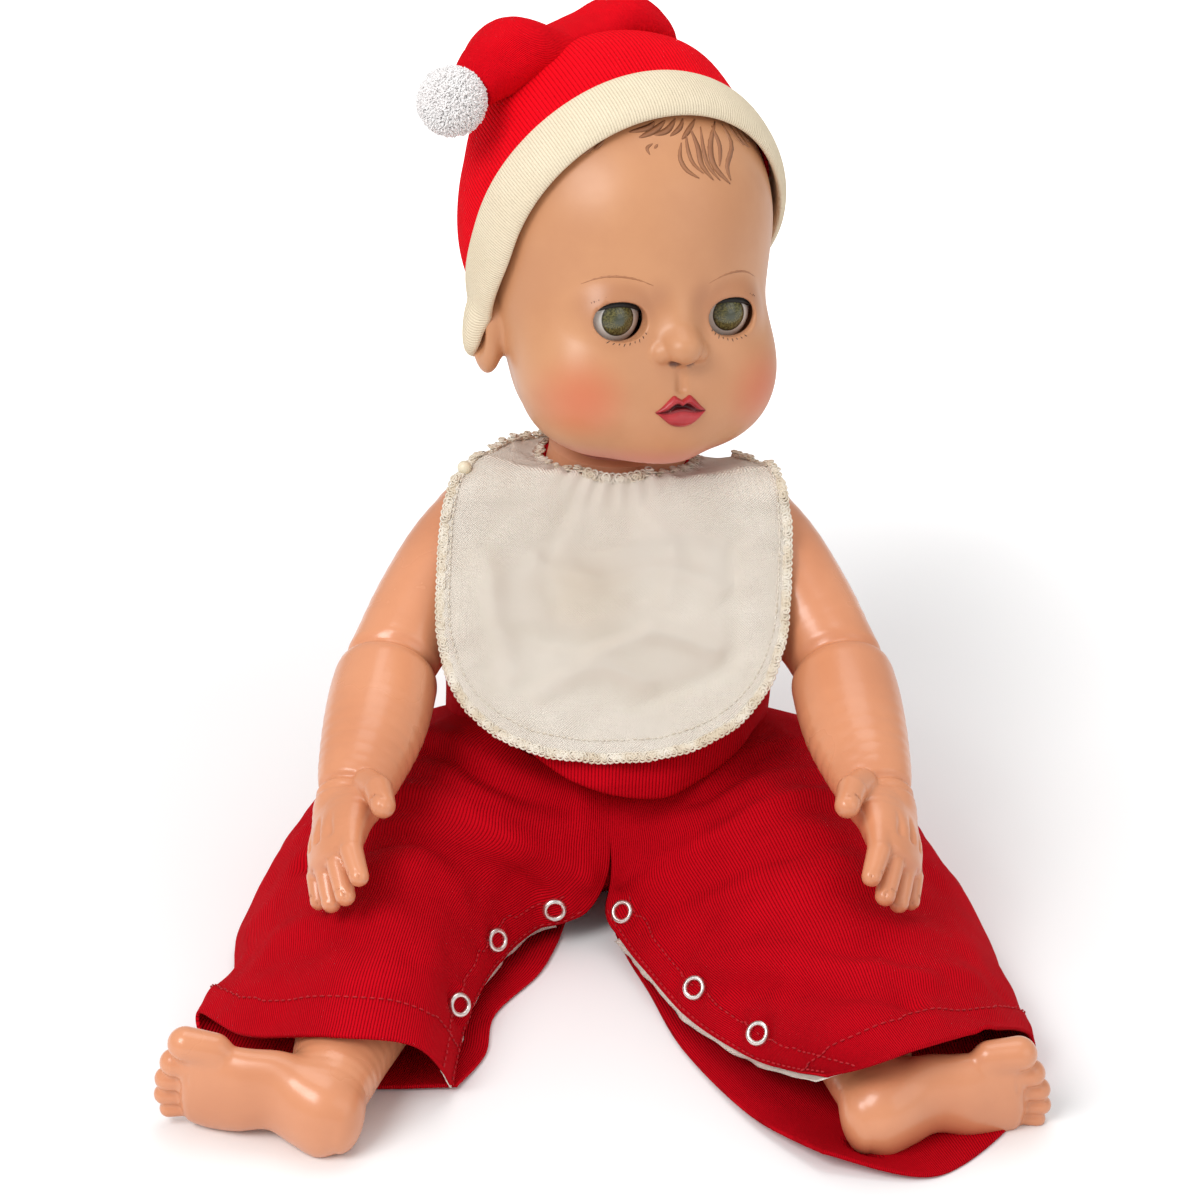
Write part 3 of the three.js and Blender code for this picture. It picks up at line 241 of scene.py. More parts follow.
def along(keys, share):
    """Points on a smooth curve through rows of numbers, at shares from 0 to 1 of its rows."""
    keys = np.asarray(keys, float)
    last = len(keys) - 1
    t = np.clip(np.asarray(share, float) * last, 0, last - 1e-9)
    i = t.astype(int)
    f = (t - i).reshape(t.shape + (1,) * (keys.ndim - 1))
    a, b, c, d = (keys[np.clip(i + k, 0, last)] for k in (-1, 0, 1, 2))
    return b + 0.5 * f * (c - a + f * (2 * a - 5 * b + 4 * c - d + f * (3 * (b - c) + d - a)))


def net_surface(net, rows, cols):
    """A smooth grid of rows by cols points over a net of control points."""
    net = np.asarray(net, float)
    down = along(net, np.linspace(0, 1, rows))
    return along(down.transpose(1, 0, 2), np.linspace(0, 1, cols)).transpose(1, 0, 2)


def ripple(p, size, seed=0):
    """Smooth noise from about -1 to 1 that changes over a few millimetres."""
    q = np.asarray(p, float) / size
    cell = np.floor(q)
    f = q - cell
    f = f * f * (3 - 2 * f)
    total = 0
    for corner in np.ndindex(2, 2, 2):
        h = np.sin((cell + corner) @ (127.1, 311.7, 74.7) + 19.19 * seed) * 43758.5453
        weight = np.prod(np.where(corner, f, 1 - f), axis=-1)
        total = total + weight * (h - np.floor(h))
    return 2 * total - 1


def path_lengths(points):
    steps = np.linalg.norm(np.diff(points, axis=0), axis=-1)
    return np.concatenate([np.zeros((1,) + steps.shape[1:]), np.cumsum(steps, axis=0)])


# Forms as distance fields, in millimetres


def egg(p, form):
    at, radii = form
    q = (p - np.asarray(at, float)) / np.asarray(radii, float)
    near = np.linalg.norm(q, axis=-1)
    return near * (near - 1) / np.maximum(np.linalg.norm(q / radii, axis=-1), 1e-9)


def bar(p, a, b, ra, rb):
    """A round bar from a to b whose radius changes from ra to rb."""
    a, b = np.asarray(a, float), np.asarray(b, float)
    t = np.clip((p - a) @ (b - a) / max((b - a) @ (b - a), 1e-9), 0, 1)
    return np.linalg.norm(p - a - t[:, None] * (b - a), axis=-1) - ra - (rb - ra) * t


def join(a, b, soft):
    h = np.maximum(soft - np.abs(a - b), 0) / soft
    return np.minimum(a, b) - h * h * soft / 4


def carve(a, b, soft):
    return -join(-a, b, soft)


def sculpt(field, low, high, cell):
    """A mesh of quads where a field is zero, with its points brought onto the field."""
    low, high = np.asarray(low, float), np.asarray(high, float)
    count = 4 * np.ceil((high - low) / cell / 4).astype(int) + 1
    axes = [low[k] + cell * np.arange(count[k]) for k in range(3)]
    coarse = np.stack(np.meshgrid(*[axis[::4] for axis in axes], indexing="ij"), -1)
    rough = field(coarse.reshape(-1, 3)).reshape(coarse.shape[:3])
    nearest = np.ix_(*[(np.arange(n) + 2) // 4 for n in count])
    rough = rough[nearest]
    values = np.where(rough > 0, 3.0 * cell, -3.0 * cell)
    near = np.argwhere(np.abs(rough) < 9 * cell)
    values[tuple(near.T)] = field(low + cell * near)
    grid = openvdb.FloatGrid(3.0 * cell)
    grid.copyFromArray(values.astype(np.float32))
    points, quads = grid.convertToQuads(isovalue=0.0)
    points = low + cell * np.asarray(points, float)
    for _ in range(3):
        d = field(points)
        slope = slopes(field, points)
        step = d[:, None] * slope / np.maximum((slope * slope).sum(-1, keepdims=True), 0.2)
        points = points - np.clip(step, -cell, cell)
    return points, outwards(points, np.asarray(quads))


def slopes(field, points, step=0.2):
    axes = np.eye(3) * step
    return np.stack([(field(points + a) - field(points - a)) / (2 * step) for a in axes], -1)


def outwards(points, faces):
    """The faces of a closed form, turned so that they point out."""
    a, b, c = (points[faces[:, k]] for k in range(3))
    volume = np.einsum("ij,ij->i", a, np.cross(b, c)).sum()
    if faces.shape[1] == 4:
        d = points[faces[:, 3]]
        volume += np.einsum("ij,ij->i", a, np.cross(c, d)).sum()
    return faces if volume > 0 else faces[:, ::-1]


# Meshes


def mesh_piece(name, points, faces, finish, uv=None, marks=None):
    """A new object from points in millimetres and arrays of faces, each with any UV per corner."""
    groups = [np.asarray(f) for f in (faces if isinstance(faces, list) else [faces]) if len(f)]
    mesh = bpy.data.meshes.new(name)
    mesh.vertices.add(len(points))
    mesh.vertices.foreach_set("co", (np.asarray(points, float) * MM).astype(np.float32).ravel())
    loops = np.concatenate([g.ravel() for g in groups]).astype(np.int32)
    sizes = np.concatenate([np.full(len(g), g.shape[1]) for g in groups])
    mesh.loops.add(len(loops))
    mesh.loops.foreach_set("vertex_index", loops)
    mesh.polygons.add(len(sizes))
    mesh.polygons.foreach_set("loop_start", np.concatenate([[0], np.cumsum(sizes)[:-1]]).astype(np.int32))
    mesh.update(calc_edges=True)
    if uv is not None:
        layer = mesh.uv_layers.new(name="UVMap")
        flat = np.concatenate([np.asarray(u, float).reshape(-1, 2) for u in uv])
        layer.data.foreach_set("uv", flat.astype(np.float32).ravel())
    for key, values in (marks or {}).items():
        values = np.asarray(values, np.float32)
        kind, field = ("FLOAT_VECTOR", "vector") if values.ndim == 2 else ("FLOAT", "value")
        mesh.attributes.new(key, kind, "POINT").data.foreach_set(field, values.ravel())
    mesh.materials.append(finish)
    mesh.shade_smooth()
    mesh.validate()
    piece = bpy.data.objects.new(name, mesh)
    bpy.context.scene.collection.objects.link(piece)
    return piece


def loft(rings, around=True, caps=(False, False), uv=None, facing=None):
    """Points, faces and corner UVs over rows of points. uv has one more column where rows close."""
    rings = np.asarray(rings, float)
    rows, cols = rings.shape[:2]
    i, j = np.meshgrid(np.arange(rows - 1), np.arange(cols if around else cols - 1), indexing="ij")
    ci = np.stack([i, i, i + 1, i + 1], -1).reshape(-1, 4)
    cj = np.stack([j, j + 1, j + 1, j], -1).reshape(-1, 4)
    points = rings.reshape(-1, 3)
    quads = ci * cols + cj % cols
    if uv is None:
        uv = np.zeros((rows, cols + 1, 2))
    corners = uv[ci, cj]
    fans, fan_uv = [], []
    for row, wanted, step in ((0, caps[0], -1), (rows - 1, caps[1], 1)):
        if wanted:
            hub = len(points)
            points = np.vstack([points, rings[row].mean(0)])
            k = np.arange(cols)
            pair = (k, k + 1) if step > 0 else (k + 1, k)
            ends = [row * cols + end % cols for end in pair]
            fans.append(np.stack([np.full(cols, hub)] + ends, -1))
            rim = uv[row]
            middle = np.broadcast_to(rim.mean(0), (cols, 2))
            fan_uv.append(np.stack([middle, rim[pair[0]], rim[pair[1]]], 1))
    tris = np.concatenate(fans) if fans else np.zeros((0, 3), int)
    a, b, c = (points[quads[:, k]] for k in range(3))
    normal = np.cross(b - a, c - a)
    if facing is None:
        middle = a.mean(0)
        turned = (normal * (a - middle)).sum() < 0
    else:
        turned = (normal @ np.asarray(facing, float)).sum() < 0
    if turned:
        quads, corners = quads[:, ::-1], corners[:, ::-1]
        tris = tris[:, ::-1]
        fan_uv = [f[:, ::-1] for f in fan_uv]
    faces, uvs = [quads], [corners]
    if len(tris):
        faces.append(tris)
        uvs.append(np.concatenate(fan_uv))
    return points, faces, uvs


def lofted(name, rings, finish, marks=None, **more):
    points, faces, uvs = loft(rings, **more)
    return mesh_piece(name, points, faces, finish, uv=uvs, marks=marks)


def settle(piece):
    """The piece with its modifiers made part of its mesh."""
    bpy.context.view_layer.update()
    done = bpy.data.meshes.new_from_object(piece.evaluated_get(bpy.context.evaluated_depsgraph_get()))
    piece.modifiers.clear()
    piece.data = done
    return piece


def thicken(piece, thickness, offset=-1):
    shell = piece.modifiers.new("thickness", "SOLIDIFY")
    shell.thickness = thickness * MM
    shell.offset = offset
    return settle(piece)


def joined(name, pieces):
    """Several meshes as one piece."""
    whole = bmesh.new()
    layout = pieces[0].data
    for piece in pieces:
        whole.from_mesh(piece.data)
    whole.to_mesh(layout)
    whole.free()
    for piece in pieces[1:]:
        bpy.data.objects.remove(piece)
    pieces[0].name = name
    layout.name = name
    layout.shade_smooth()
    return pieces[0]


def place(piece, body, slot, *nodes):
    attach(piece, body)
    if nodes:
        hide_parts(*nodes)
    return piece


# Shader nodes


def put(socket, value):
    if isinstance(value, bpy.types.NodeSocket):
        socket.id_data.links.new(value, socket)
    else:
        socket.default_value = value


def node(tree, kind, inputs=None, family="ShaderNode", **settings):
    made = tree.nodes.new(family + kind)
    for key, value in settings.items():
        setattr(made, key, value)
    for key, value in (inputs or {}).items():
        put(made.inputs[key], value)
    return made


def calc(tree, operation, a, b=0.0):
    return node(tree, "Math", {0: a, 1: b}, operation=operation).outputs[0]


def mixed(tree, share, a, b):
    a, b = ((*c, 1) if isinstance(c, tuple) else c for c in (a, b))
    return node(tree, "Mix", {0: share, 6: a, 7: b}, data_type="RGBA").outputs[2]


def ramped(tree, value, low, high, to_low=0.0, to_high=1.0):
    inputs = {0: value, 1: low, 2: high, 3: to_low, 4: to_high}
    return node(tree, "MapRange", inputs, interpolation_type="SMOOTHSTEP").outputs[0]


def bumped(tree, height, distance, strength=1.0, below=None):
    inputs = {"Height": height, "Distance": distance, "Strength": strength}
    if below is not None:
        inputs["Normal"] = below
    return node(tree, "Bump", inputs).outputs[0]


def shader_group(name, inputs, outputs):
    tree = bpy.data.node_groups.new(name, "ShaderNodeTree")
    for key, kind, value in inputs:
        tree.interface.new_socket(key, in_out="INPUT", socket_type=kind).default_value = value
    for key, kind in outputs:
        tree.interface.new_socket(key, in_out="OUTPUT", socket_type=kind)
    return tree, tree.nodes.new("NodeGroupInput").outputs, tree.nodes.new("NodeGroupOutput").inputs


def use(tree, group, inputs):
    return node(tree, "Group", inputs, node_tree=group).outputs


def make_mottle():
    """Uneven patches, as age and handling leave on a surface."""
    tree, ins, outs = shader_group(
        "uneven patches",
        [("Vector", "NodeSocketVector", (0, 0, 0)), ("Scale", "NodeSocketFloat", 50.0)],
        [("Patch", "NodeSocketFloat"), ("Grain", "NodeSocketFloat")],
    )
    wide = node(tree, "TexNoise", {"Vector": ins["Vector"], "Scale": ins["Scale"], "Detail": 4.0})
    put(outs["Patch"], ramped(tree, wide.outputs[0], 0.3, 0.7))
    small = calc(tree, "MULTIPLY", ins["Scale"], 24.0)
    fine = node(tree, "TexNoise", {"Vector": ins["Vector"], "Scale": small, "Detail": 3.0})
    put(outs["Grain"], fine.outputs[0])
    return tree


def make_ribs():
    """Raised lines across a map: round on top with a narrow groove between."""
    tree, ins, outs = shader_group(
        "raised lines",
        [("Place", "NodeSocketFloat", 0.0), ("Crown", "NodeSocketFloat", 0.5)],
        [("Height", "NodeSocketFloat")],
    )
    wave = calc(tree, "ABSOLUTE", calc(tree, "SINE", calc(tree, "MULTIPLY", ins["Place"], math.pi)))
    put(outs["Height"], calc(tree, "POWER", wave, ins["Crown"]))
    return tree


def make_weave():
    """Threads over and under each other, one thread to each unit of the map."""
    tree, ins, outs = shader_group(
        "plain weave",
        [("Vector", "NodeSocketVector", (0, 0, 0))],
        [("Height", "NodeSocketFloat")],
    )
    axes = node(tree, "SeparateXYZ", {0: ins["Vector"]}).outputs
    warp = calc(tree, "SINE", calc(tree, "MULTIPLY", axes[0], math.pi))
    weft = calc(tree, "SINE", calc(tree, "MULTIPLY", axes[1], math.pi))
    put(outs["Height"], calc(tree, "MULTIPLY", warp, weft))
    return tree


MOTTLE = make_mottle()
RIBS = make_ribs()
WEAVE = make_weave()


def finish(name, roughness, **constants):
    """A material, its node tree and its shader, with the shader's constants set on its own sockets."""
    material = bpy.data.materials.new(name)
    material.use_nodes = True
    shader = material.node_tree.nodes["Principled BSDF"]
    shader.inputs["Roughness"].default_value = roughness
    for key, value in constants.items():
        shader.inputs[key.replace("_", " ")].default_value = value
    return material, material.node_tree, shader.inputs


def object_place(tree):
    return node(tree, "TexCoord").outputs["Object"]


def uv_place(tree):
    return node(tree, "UVMap", uv_map="UVMap").outputs[0]


def mark(tree, name):
    return node(tree, "Attribute", attribute_name=name).outputs


def plain_finish(name, colour, dark, roughness, scale=60.0, grain=0.00004, **constants):
    """A moulded, cast or drawn surface with uneven colour, gloss and a fine grain."""
    material, tree, shader = finish(name, roughness, **constants)
    patches = use(tree, MOTTLE, {"Vector": object_place(tree), "Scale": scale})
    put(shader["Base Color"], mixed(tree, patches["Patch"], dark, colour))
    put(shader["Roughness"], ramped(tree, patches["Patch"], 0, 1, roughness + 0.06, roughness - 0.04))
    put(shader["Normal"], bumped(tree, patches["Grain"], grain))
    return material


def head_finish():
    """Satin vinyl with sprayed cheeks, a rosy neck, and painted shade in the eye sockets, beside the bridge
    of the nose and in the nostrils.
    """
    material, tree, shader = finish("head vinyl", 0.42, Coat_Weight=0.12, Coat_Roughness=0.28)
    patches = use(tree, MOTTLE, {"Vector": object_place(tree), "Scale": 34.0})
    skin = mixed(tree, patches["Patch"], (0.55, 0.25, 0.118), (0.60, 0.285, 0.138))
    # Painted shade in the eye sockets and beside the bridge of the nose
    skin = mixed(tree, mark(tree, "socket")["Fac"], skin, (0.30, 0.095, 0.04))
    skin = mixed(tree, mark(tree, "blush")["Fac"], skin, (0.66, 0.125, 0.052))
    skin = mixed(tree, mark(tree, "neck")["Fac"], skin, (0.62, 0.22, 0.15))
    # Painted shade in the nostrils
    skin = mixed(tree, mark(tree, "deep")["Fac"], skin, (0.055, 0.008, 0.008))
    put(shader["Base Color"], skin)
    put(shader["Roughness"], ramped(tree, patches["Patch"], 0, 1, 0.46, 0.38))
    put(shader["Normal"], bumped(tree, patches["Grain"], 0.00003))
    return material


def lip_finish():
    """Crimson lip paint, with painted shade inside the mouth."""
    material, tree, shader = finish("lip paint", 0.34, Coat_Weight=0.15, Coat_Roughness=0.2)
    patches = use(tree, MOTTLE, {"Vector": object_place(tree), "Scale": 160.0})
    red = mixed(tree, patches["Patch"], (0.36, 0.014, 0.02), (0.47, 0.03, 0.036))
    # Painted shade inside the mouth and on the lips' inner edges
    put(shader["Base Color"], mixed(tree, mark(tree, "deep")["Fac"], red, (0.07, 0.004, 0.006)))
    put(shader["Normal"], bumped(tree, patches["Grain"], 0.00003))
    return material


def eye_finish():
    """White ball with an olive iris, streaked outwards, a dark rim and a grey centre."""
    material, tree, shader = finish("glassy eye", 0.22, Coat_Weight=0.3, Coat_Roughness=0.03)
    gaze = mark(tree, "gaze")["Vector"]
    axes = node(tree, "SeparateXYZ", {0: gaze}).outputs
    flat = node(tree, "CombineXYZ", {0: axes[0], 1: axes[1]}).outputs[0]
    far = node(tree, "VectorMath", {0: flat}, operation="LENGTH").outputs["Value"]
    angle = calc(tree, "ARCTAN2", axes[1], axes[0])
    polar = node(tree, "CombineXYZ", {0: calc(tree, "MULTIPLY", angle, 5.0), 1: far}).outputs[0]
    streak = node(tree, "TexNoise", {"Vector": polar, "Scale": 1.3, "Detail": 4.0}).outputs[0]
    fleck = node(tree, "TexNoise", {"Vector": gaze, "Scale": 0.5, "Detail": 3.0}).outputs[0]
    olive = mixed(tree, ramped(tree, streak, 0.35, 0.68), (0.035, 0.033, 0.008), (0.17, 0.15, 0.048))
    olive = mixed(tree, ramped(tree, fleck, 0.48, 0.7, 0.0, 0.55), olive, (0.10, 0.105, 0.06))
    olive = mixed(tree, ramped(tree, far, 1.2, 3.0, 0.75, 0.0), olive, (0.05, 0.06, 0.045))
    olive = mixed(tree, ramped(tree, far, IRIS_R - 1.1, IRIS_R - 0.1, 0.0, 0.85), olive, (0.02, 0.018, 0.008))
    past_iris = ramped(tree, far, IRIS_R + 0.2, IRIS_R + 3, 0.0, 1.0)
    white = mixed(tree, past_iris, (0.66, 0.63, 0.58), (0.80, 0.78, 0.74))
    put(shader["Base Color"], mixed(tree, ramped(tree, far, IRIS_R - 0.15, IRIS_R + 0.15), olive, white))
    return material


def knit_finish(name, colour, dark, pitch_bump=0.00045):
    """Fine knitted ribs that follow the map, with painted shade in the grooves and a soft fuzz."""
    material, tree, shader = finish(name, 0.95, Specular_IOR_Level=0.05)
    axes = node(tree, "SeparateXYZ", {0: uv_place(tree)}).outputs
    ribs = use(tree, RIBS, {"Place": axes[0], "Crown": 0.7})["Height"]
    loops = use(tree, RIBS, {"Place": axes[1], "Crown": 0.5})["Height"]
    patches = use(tree, MOTTLE, {"Vector": object_place(tree), "Scale": 70.0})
    # Painted shade: the grooves between the ribs and between the loops are coloured darker
    rib_shade = ramped(tree, ribs, 0.0, 0.75, 0.25, 1.0)
    loop_shade = ramped(tree, loops, 0, 0.6, 0.94, 1.0)
    shade = calc(tree, "MULTIPLY", rib_shade, loop_shade)
    tone = mixed(tree, shade, dark, colour)
    put(shader["Base Color"], mixed(tree, ramped(tree, patches["Patch"], 0, 1, 0.0, 0.16), tone, dark))
    height = calc(tree, "MULTIPLY", ribs, ramped(tree, loops, 0, 1, 0.75, 1.0))
    first = bumped(tree, height, pitch_bump)
    put(shader["Normal"], bumped(tree, patches["Grain"], 0.00025, 0.7, first))
    return material


def corduroy_finish():
    """Red pinwale corduroy: wales follow the map in millimetres, with painted shade in the grooves between
    them, duller in patches.
    """
    material, tree, shader = finish("red corduroy", 0.9, Specular_IOR_Level=0.04)
    axes = node(tree, "SeparateXYZ", {0: uv_place(tree)}).outputs
    sway = node(tree, "TexNoise", {"Vector": object_place(tree), "Scale": 90.0, "Detail": 2.0}).outputs[0]
    across = calc(tree, "ADD", calc(tree, "MULTIPLY", axes[0], 1 / WALE), calc(tree, "MULTIPLY", sway, 0.35))
    wales = use(tree, RIBS, {"Place": across, "Crown": 0.6})["Height"]
    patches = use(tree, MOTTLE, {"Vector": object_place(tree), "Scale": 42.0})
    # Painted shade: the grooves between the wales are coloured darker than their tops
    tone = mixed(tree, ramped(tree, wales, 0.1, 0.85), (0.25, 0.001, 0.004), (0.56, 0.002, 0.0095))
    dull = ramped(tree, patches["Patch"], 0, 1, 0.0, 0.22)
    put(shader["Base Color"], mixed(tree, dull, tone, (0.34, 0.002, 0.006)))
    first = bumped(tree, wales, 0.0004)
    put(shader["Normal"], bumped(tree, patches["Grain"], 0.0003, 0.6, first))
    return material


def cotton_finish(name, colour, dark, threads=3.2, stain=None):
    """Woven cotton, washed soft, with a little age and painted shade between the threads."""
    material, tree, shader = finish(name, 0.95, Sheen_Weight=0.1, Specular_IOR_Level=0.2)
    spot = object_place(tree)
    grid = node(tree, "VectorMath", {0: uv_place(tree), 3: threads}, operation="SCALE").outputs[0]
    weave = use(tree, WEAVE, {"Vector": grid})["Height"]
    patches = use(tree, MOTTLE, {"Vector": spot, "Scale": 30.0})
    tone = mixed(tree, ramped(tree, patches["Patch"], 0, 1, 0.0, 0.6), colour, dark)
    # Painted shade in the low places of the weave, between the threads
    tone = mixed(tree, ramped(tree, weave, -1, 0.2, 0.25, 0.0), tone, dark)
    if stain:
        near = node(tree, "VectorMath", {0: spot, 1: stain}, operation="DISTANCE").outputs["Value"]
        tone = mixed(tree, ramped(tree, near, 0.006, 0.03, 0.34, 0.0), tone, (0.76, 0.60, 0.42))
    put(shader["Base Color"], tone)
    first = bumped(tree, weave, 0.0003)
    put(shader["Normal"], bumped(tree, patches["Grain"], 0.0003, 0.6, first))
    return material


# One wale of the corduroy in millimetres, and the place of the bib's stain in metres
WALE = 1.25
BIB_STAIN = (-0.006, -0.028, 0.138)

HEAD_VINYL = head_finish()
LIP_PAINT = lip_finish()
LID_VINYL = plain_finish("eyelid vinyl", (0.52, 0.24, 0.13), (0.42, 0.17, 0.085), 0.4)
LIMB_VINYL = plain_finish(
    "limb vinyl",
    (0.70, 0.295, 0.15),
    (0.62, 0.245, 0.118),
    0.3,
    22.0,
    0.00003,
    Coat_Weight=0.25,
    Coat_Roughness=0.18,
)
BODY_VINYL = plain_finish("body vinyl", (0.68, 0.30, 0.16), (0.60, 0.25, 0.125), 0.45)
NECK_VINYL = plain_finish("neck vinyl", (0.66, 0.27, 0.19), (0.58, 0.21, 0.14), 0.45)
PLUG_PLASTIC = plain_finish("plug plastic", (0.78, 0.70, 0.55), (0.68, 0.58, 0.43), 0.45)
EYE_GLASS = eye_finish()
LASH_FIBRE = plain_finish("lash fibre", (0.012, 0.009, 0.007), (0.006, 0.005, 0.004), 0.55)
BROW_PAINT = plain_finish("brow paint", (0.44, 0.19, 0.085), (0.36, 0.145, 0.062), 0.45)
HAIR_PAINT = plain_finish("hair paint", (0.38, 0.165, 0.076), (0.30, 0.12, 0.052), 0.45)
WIRE_STEEL = plain_finish("wire steel", (0.62, 0.62, 0.63), (0.45, 0.45, 0.46), 0.3, Metallic=1.0)
LEAD = plain_finish("cast lead", (0.22, 0.22, 0.235), (0.14, 0.14, 0.15), 0.6, 90.0, 0.0002, Metallic=0.8)
SNAP_STEEL = plain_finish("snap steel", (0.86, 0.83, 0.79), (0.76, 0.72, 0.67), 0.34, 200.0, Metallic=1.0)
BUTTON_PLASTIC = plain_finish("button plastic", (0.80, 0.72, 0.55), (0.70, 0.60, 0.42), 0.3)
RED_KNIT = knit_finish("red knit", (0.88, 0.003, 0.012), (0.52, 0.001, 0.005))
CREAM_KNIT = knit_finish("cream knit", (0.82, 0.71, 0.53), (0.70, 0.58, 0.40), 0.0003)
WHITE_YARN = plain_finish(
    "white yarn", (0.97, 0.95, 0.94), (0.95, 0.91, 0.90), 0.95, 80.0, 0.0003, Sheen_Weight=1.0
)
WHITE_COTTON = cotton_finish("white cotton", (0.95, 0.87, 0.765), (0.86, 0.77, 0.66), 2.0, BIB_STAIN)
LACE_THREAD = plain_finish("lace thread", (0.84, 0.78, 0.68), (0.70, 0.60, 0.46), 0.95, 120.0, 0.0002)
RED_CORD = corduroy_finish()
SEWING_THREAD = plain_finish("sewing thread", (0.50, 0.004, 0.012), (0.34, 0.002, 0.007), 0.8, 300.0)
WHITE_THREAD = plain_finish("white thread", (0.80, 0.74, 0.64), (0.66, 0.58, 0.46), 0.9, 300.0)


# Rows of small things, made by geometry nodes


def geometry_tree(name, sizes):
    tree = bpy.data.node_groups.new(name, "GeometryNodeTree")
    tree.interface.new_socket("Geometry", in_out="INPUT", socket_type="NodeSocketGeometry")
    for key, value in sizes.items():
        kind = "NodeSocketInt" if isinstance(value, int) else "NodeSocketFloat"
        tree.interface.new_socket(key, in_out="INPUT", socket_type=kind).default_value = value
    tree.interface.new_socket("Material", in_out="INPUT", socket_type="NodeSocketMaterial")
    tree.interface.new_socket("Geometry", in_out="OUTPUT", socket_type="NodeSocketGeometry")
    return tree, tree.nodes.new("NodeGroupInput").outputs, tree.nodes.new("NodeGroupOutput").inputs


def geo(tree, kind, inputs=None, **settings):
    return node(tree, kind, inputs, "GeometryNode", **settings)


def work_out(tree, kind, inputs=None, **settings):
    return node(tree, kind, inputs, "FunctionNode", **settings)


def named(tree, name):
    return geo(tree, "InputNamedAttribute", {"Name": name}, data_type="FLOAT_VECTOR").outputs["Attribute"]


def row_of(tree, ins, outs, shape, scale=None):
    """One shape on each point, turned by the point's own facing and heading."""
    points = geo(tree, "MeshToPoints", {"Mesh": ins["Geometry"]}).outputs[0]
    ways = {"Primary Axis": named(tree, "facing"), "Secondary Axis": named(tree, "heading")}
    turn = work_out(tree, "AxesToRotation", ways, primary_axis="Z", secondary_axis="X")
    inputs = {"Points": points, "Instance": shape, "Rotation": turn.outputs[0]}
    if scale is not None:
        inputs["Scale"] = scale
    return filled(tree, ins, outs, inputs)


def filled(tree, ins, outs, inputs):
    """The tree with its copies made real, in the wanted material, as its result."""
    made = geo(tree, "InstanceOnPoints", inputs).outputs[0]
    real = geo(tree, "RealizeInstances", {0: made}).outputs[0]
    put(outs[0], geo(tree, "SetMaterial", {"Geometry": real, "Material": ins["Material"]}).outputs[0])
    return tree


def stitch_tree():
    """Short raised stitches."""
    tree, ins, outs = geometry_tree("row of stitches", {"Long": 0.0025, "Thick": 0.0006})
    ball = geo(tree, "MeshUVSphere", {"Segments": 6, "Rings": 4, "Radius": 0.5}).outputs["Mesh"]
    size = node(tree, "CombineXYZ", {0: ins["Long"], 1: ins["Thick"], 2: ins["Thick"]}).outputs[0]
    shaped = geo(tree, "Transform", {"Geometry": ball, "Scale": size}).outputs[0]
    return row_of(tree, ins, outs, shaped)


def loop_tree():
    """Small thread loops that lie flat, such as the picots of an edging."""
    tree, ins, outs = geometry_tree("row of loops", {"Radius": 0.0015, "Thread": 0.0004})
    ring = geo(tree, "CurvePrimitiveCircle", {"Resolution": 9, "Radius": ins["Radius"]}).outputs[0]
    profile = geo(tree, "CurvePrimitiveCircle", {"Resolution": 4, "Radius": ins["Thread"]}).outputs[0]
    loop = geo(tree, "CurveToMesh", {"Curve": ring, "Profile Curve": profile}).outputs[0]
    return row_of(tree, ins, outs, loop)


def strand(tree, long, bend, thick, sides=3):
    """A bent hair that stands on its root along Z and tapers to its tip."""
    middle = node(tree, "CombineXYZ", {2: calc(tree, "MULTIPLY", long, 0.55)}).outputs[0]
    tip = node(tree, "CombineXYZ", {0: bend, 2: long}).outputs[0]
    places = {"Resolution": 4, "Middle": middle, "End": tip, "Start": (0, 0, 0)}
    line = geo(tree, "CurveQuadraticBezier", places)
    share = geo(tree, "SplineParameter").outputs["Factor"]
    thin = node(tree, "MapRange", {0: share, 1: 0.0, 2: 1.0, 3: 1.0, 4: 0.35}).outputs[0]
    radius = calc(tree, "MULTIPLY", thin, thick)
    line = geo(tree, "SetCurveRadius", {"Curve": line.outputs[0], "Radius": radius}).outputs[0]
    profile = geo(tree, "CurvePrimitiveCircle", {"Resolution": sides, "Radius": 1.0}).outputs[0]
    inputs = {"Curve": line, "Profile Curve": profile, "Fill Caps": True}
    inputs["Scale"] = geo(tree, "InputRadius").outputs[0]
    return geo(tree, "CurveToMesh", inputs).outputs[0]


def varied(tree, seed, least):
    """A size that differs from one copy to the next."""
    return work_out(tree, "RandomValue", {2: least, 3: 1.15, "Seed": seed}, data_type="FLOAT").outputs[1]


def lash_tree():
    """Bent lashes of uneven length."""
    sizes = {"Long": 0.005, "Bend": 0.002, "Thick": 0.00022, "Seed": 3}
    tree, ins, outs = geometry_tree("row of lashes", sizes)
    shape = strand(tree, ins["Long"], ins["Bend"], ins["Thick"])
    return row_of(tree, ins, outs, shape, varied(tree, ins["Seed"], 0.6))


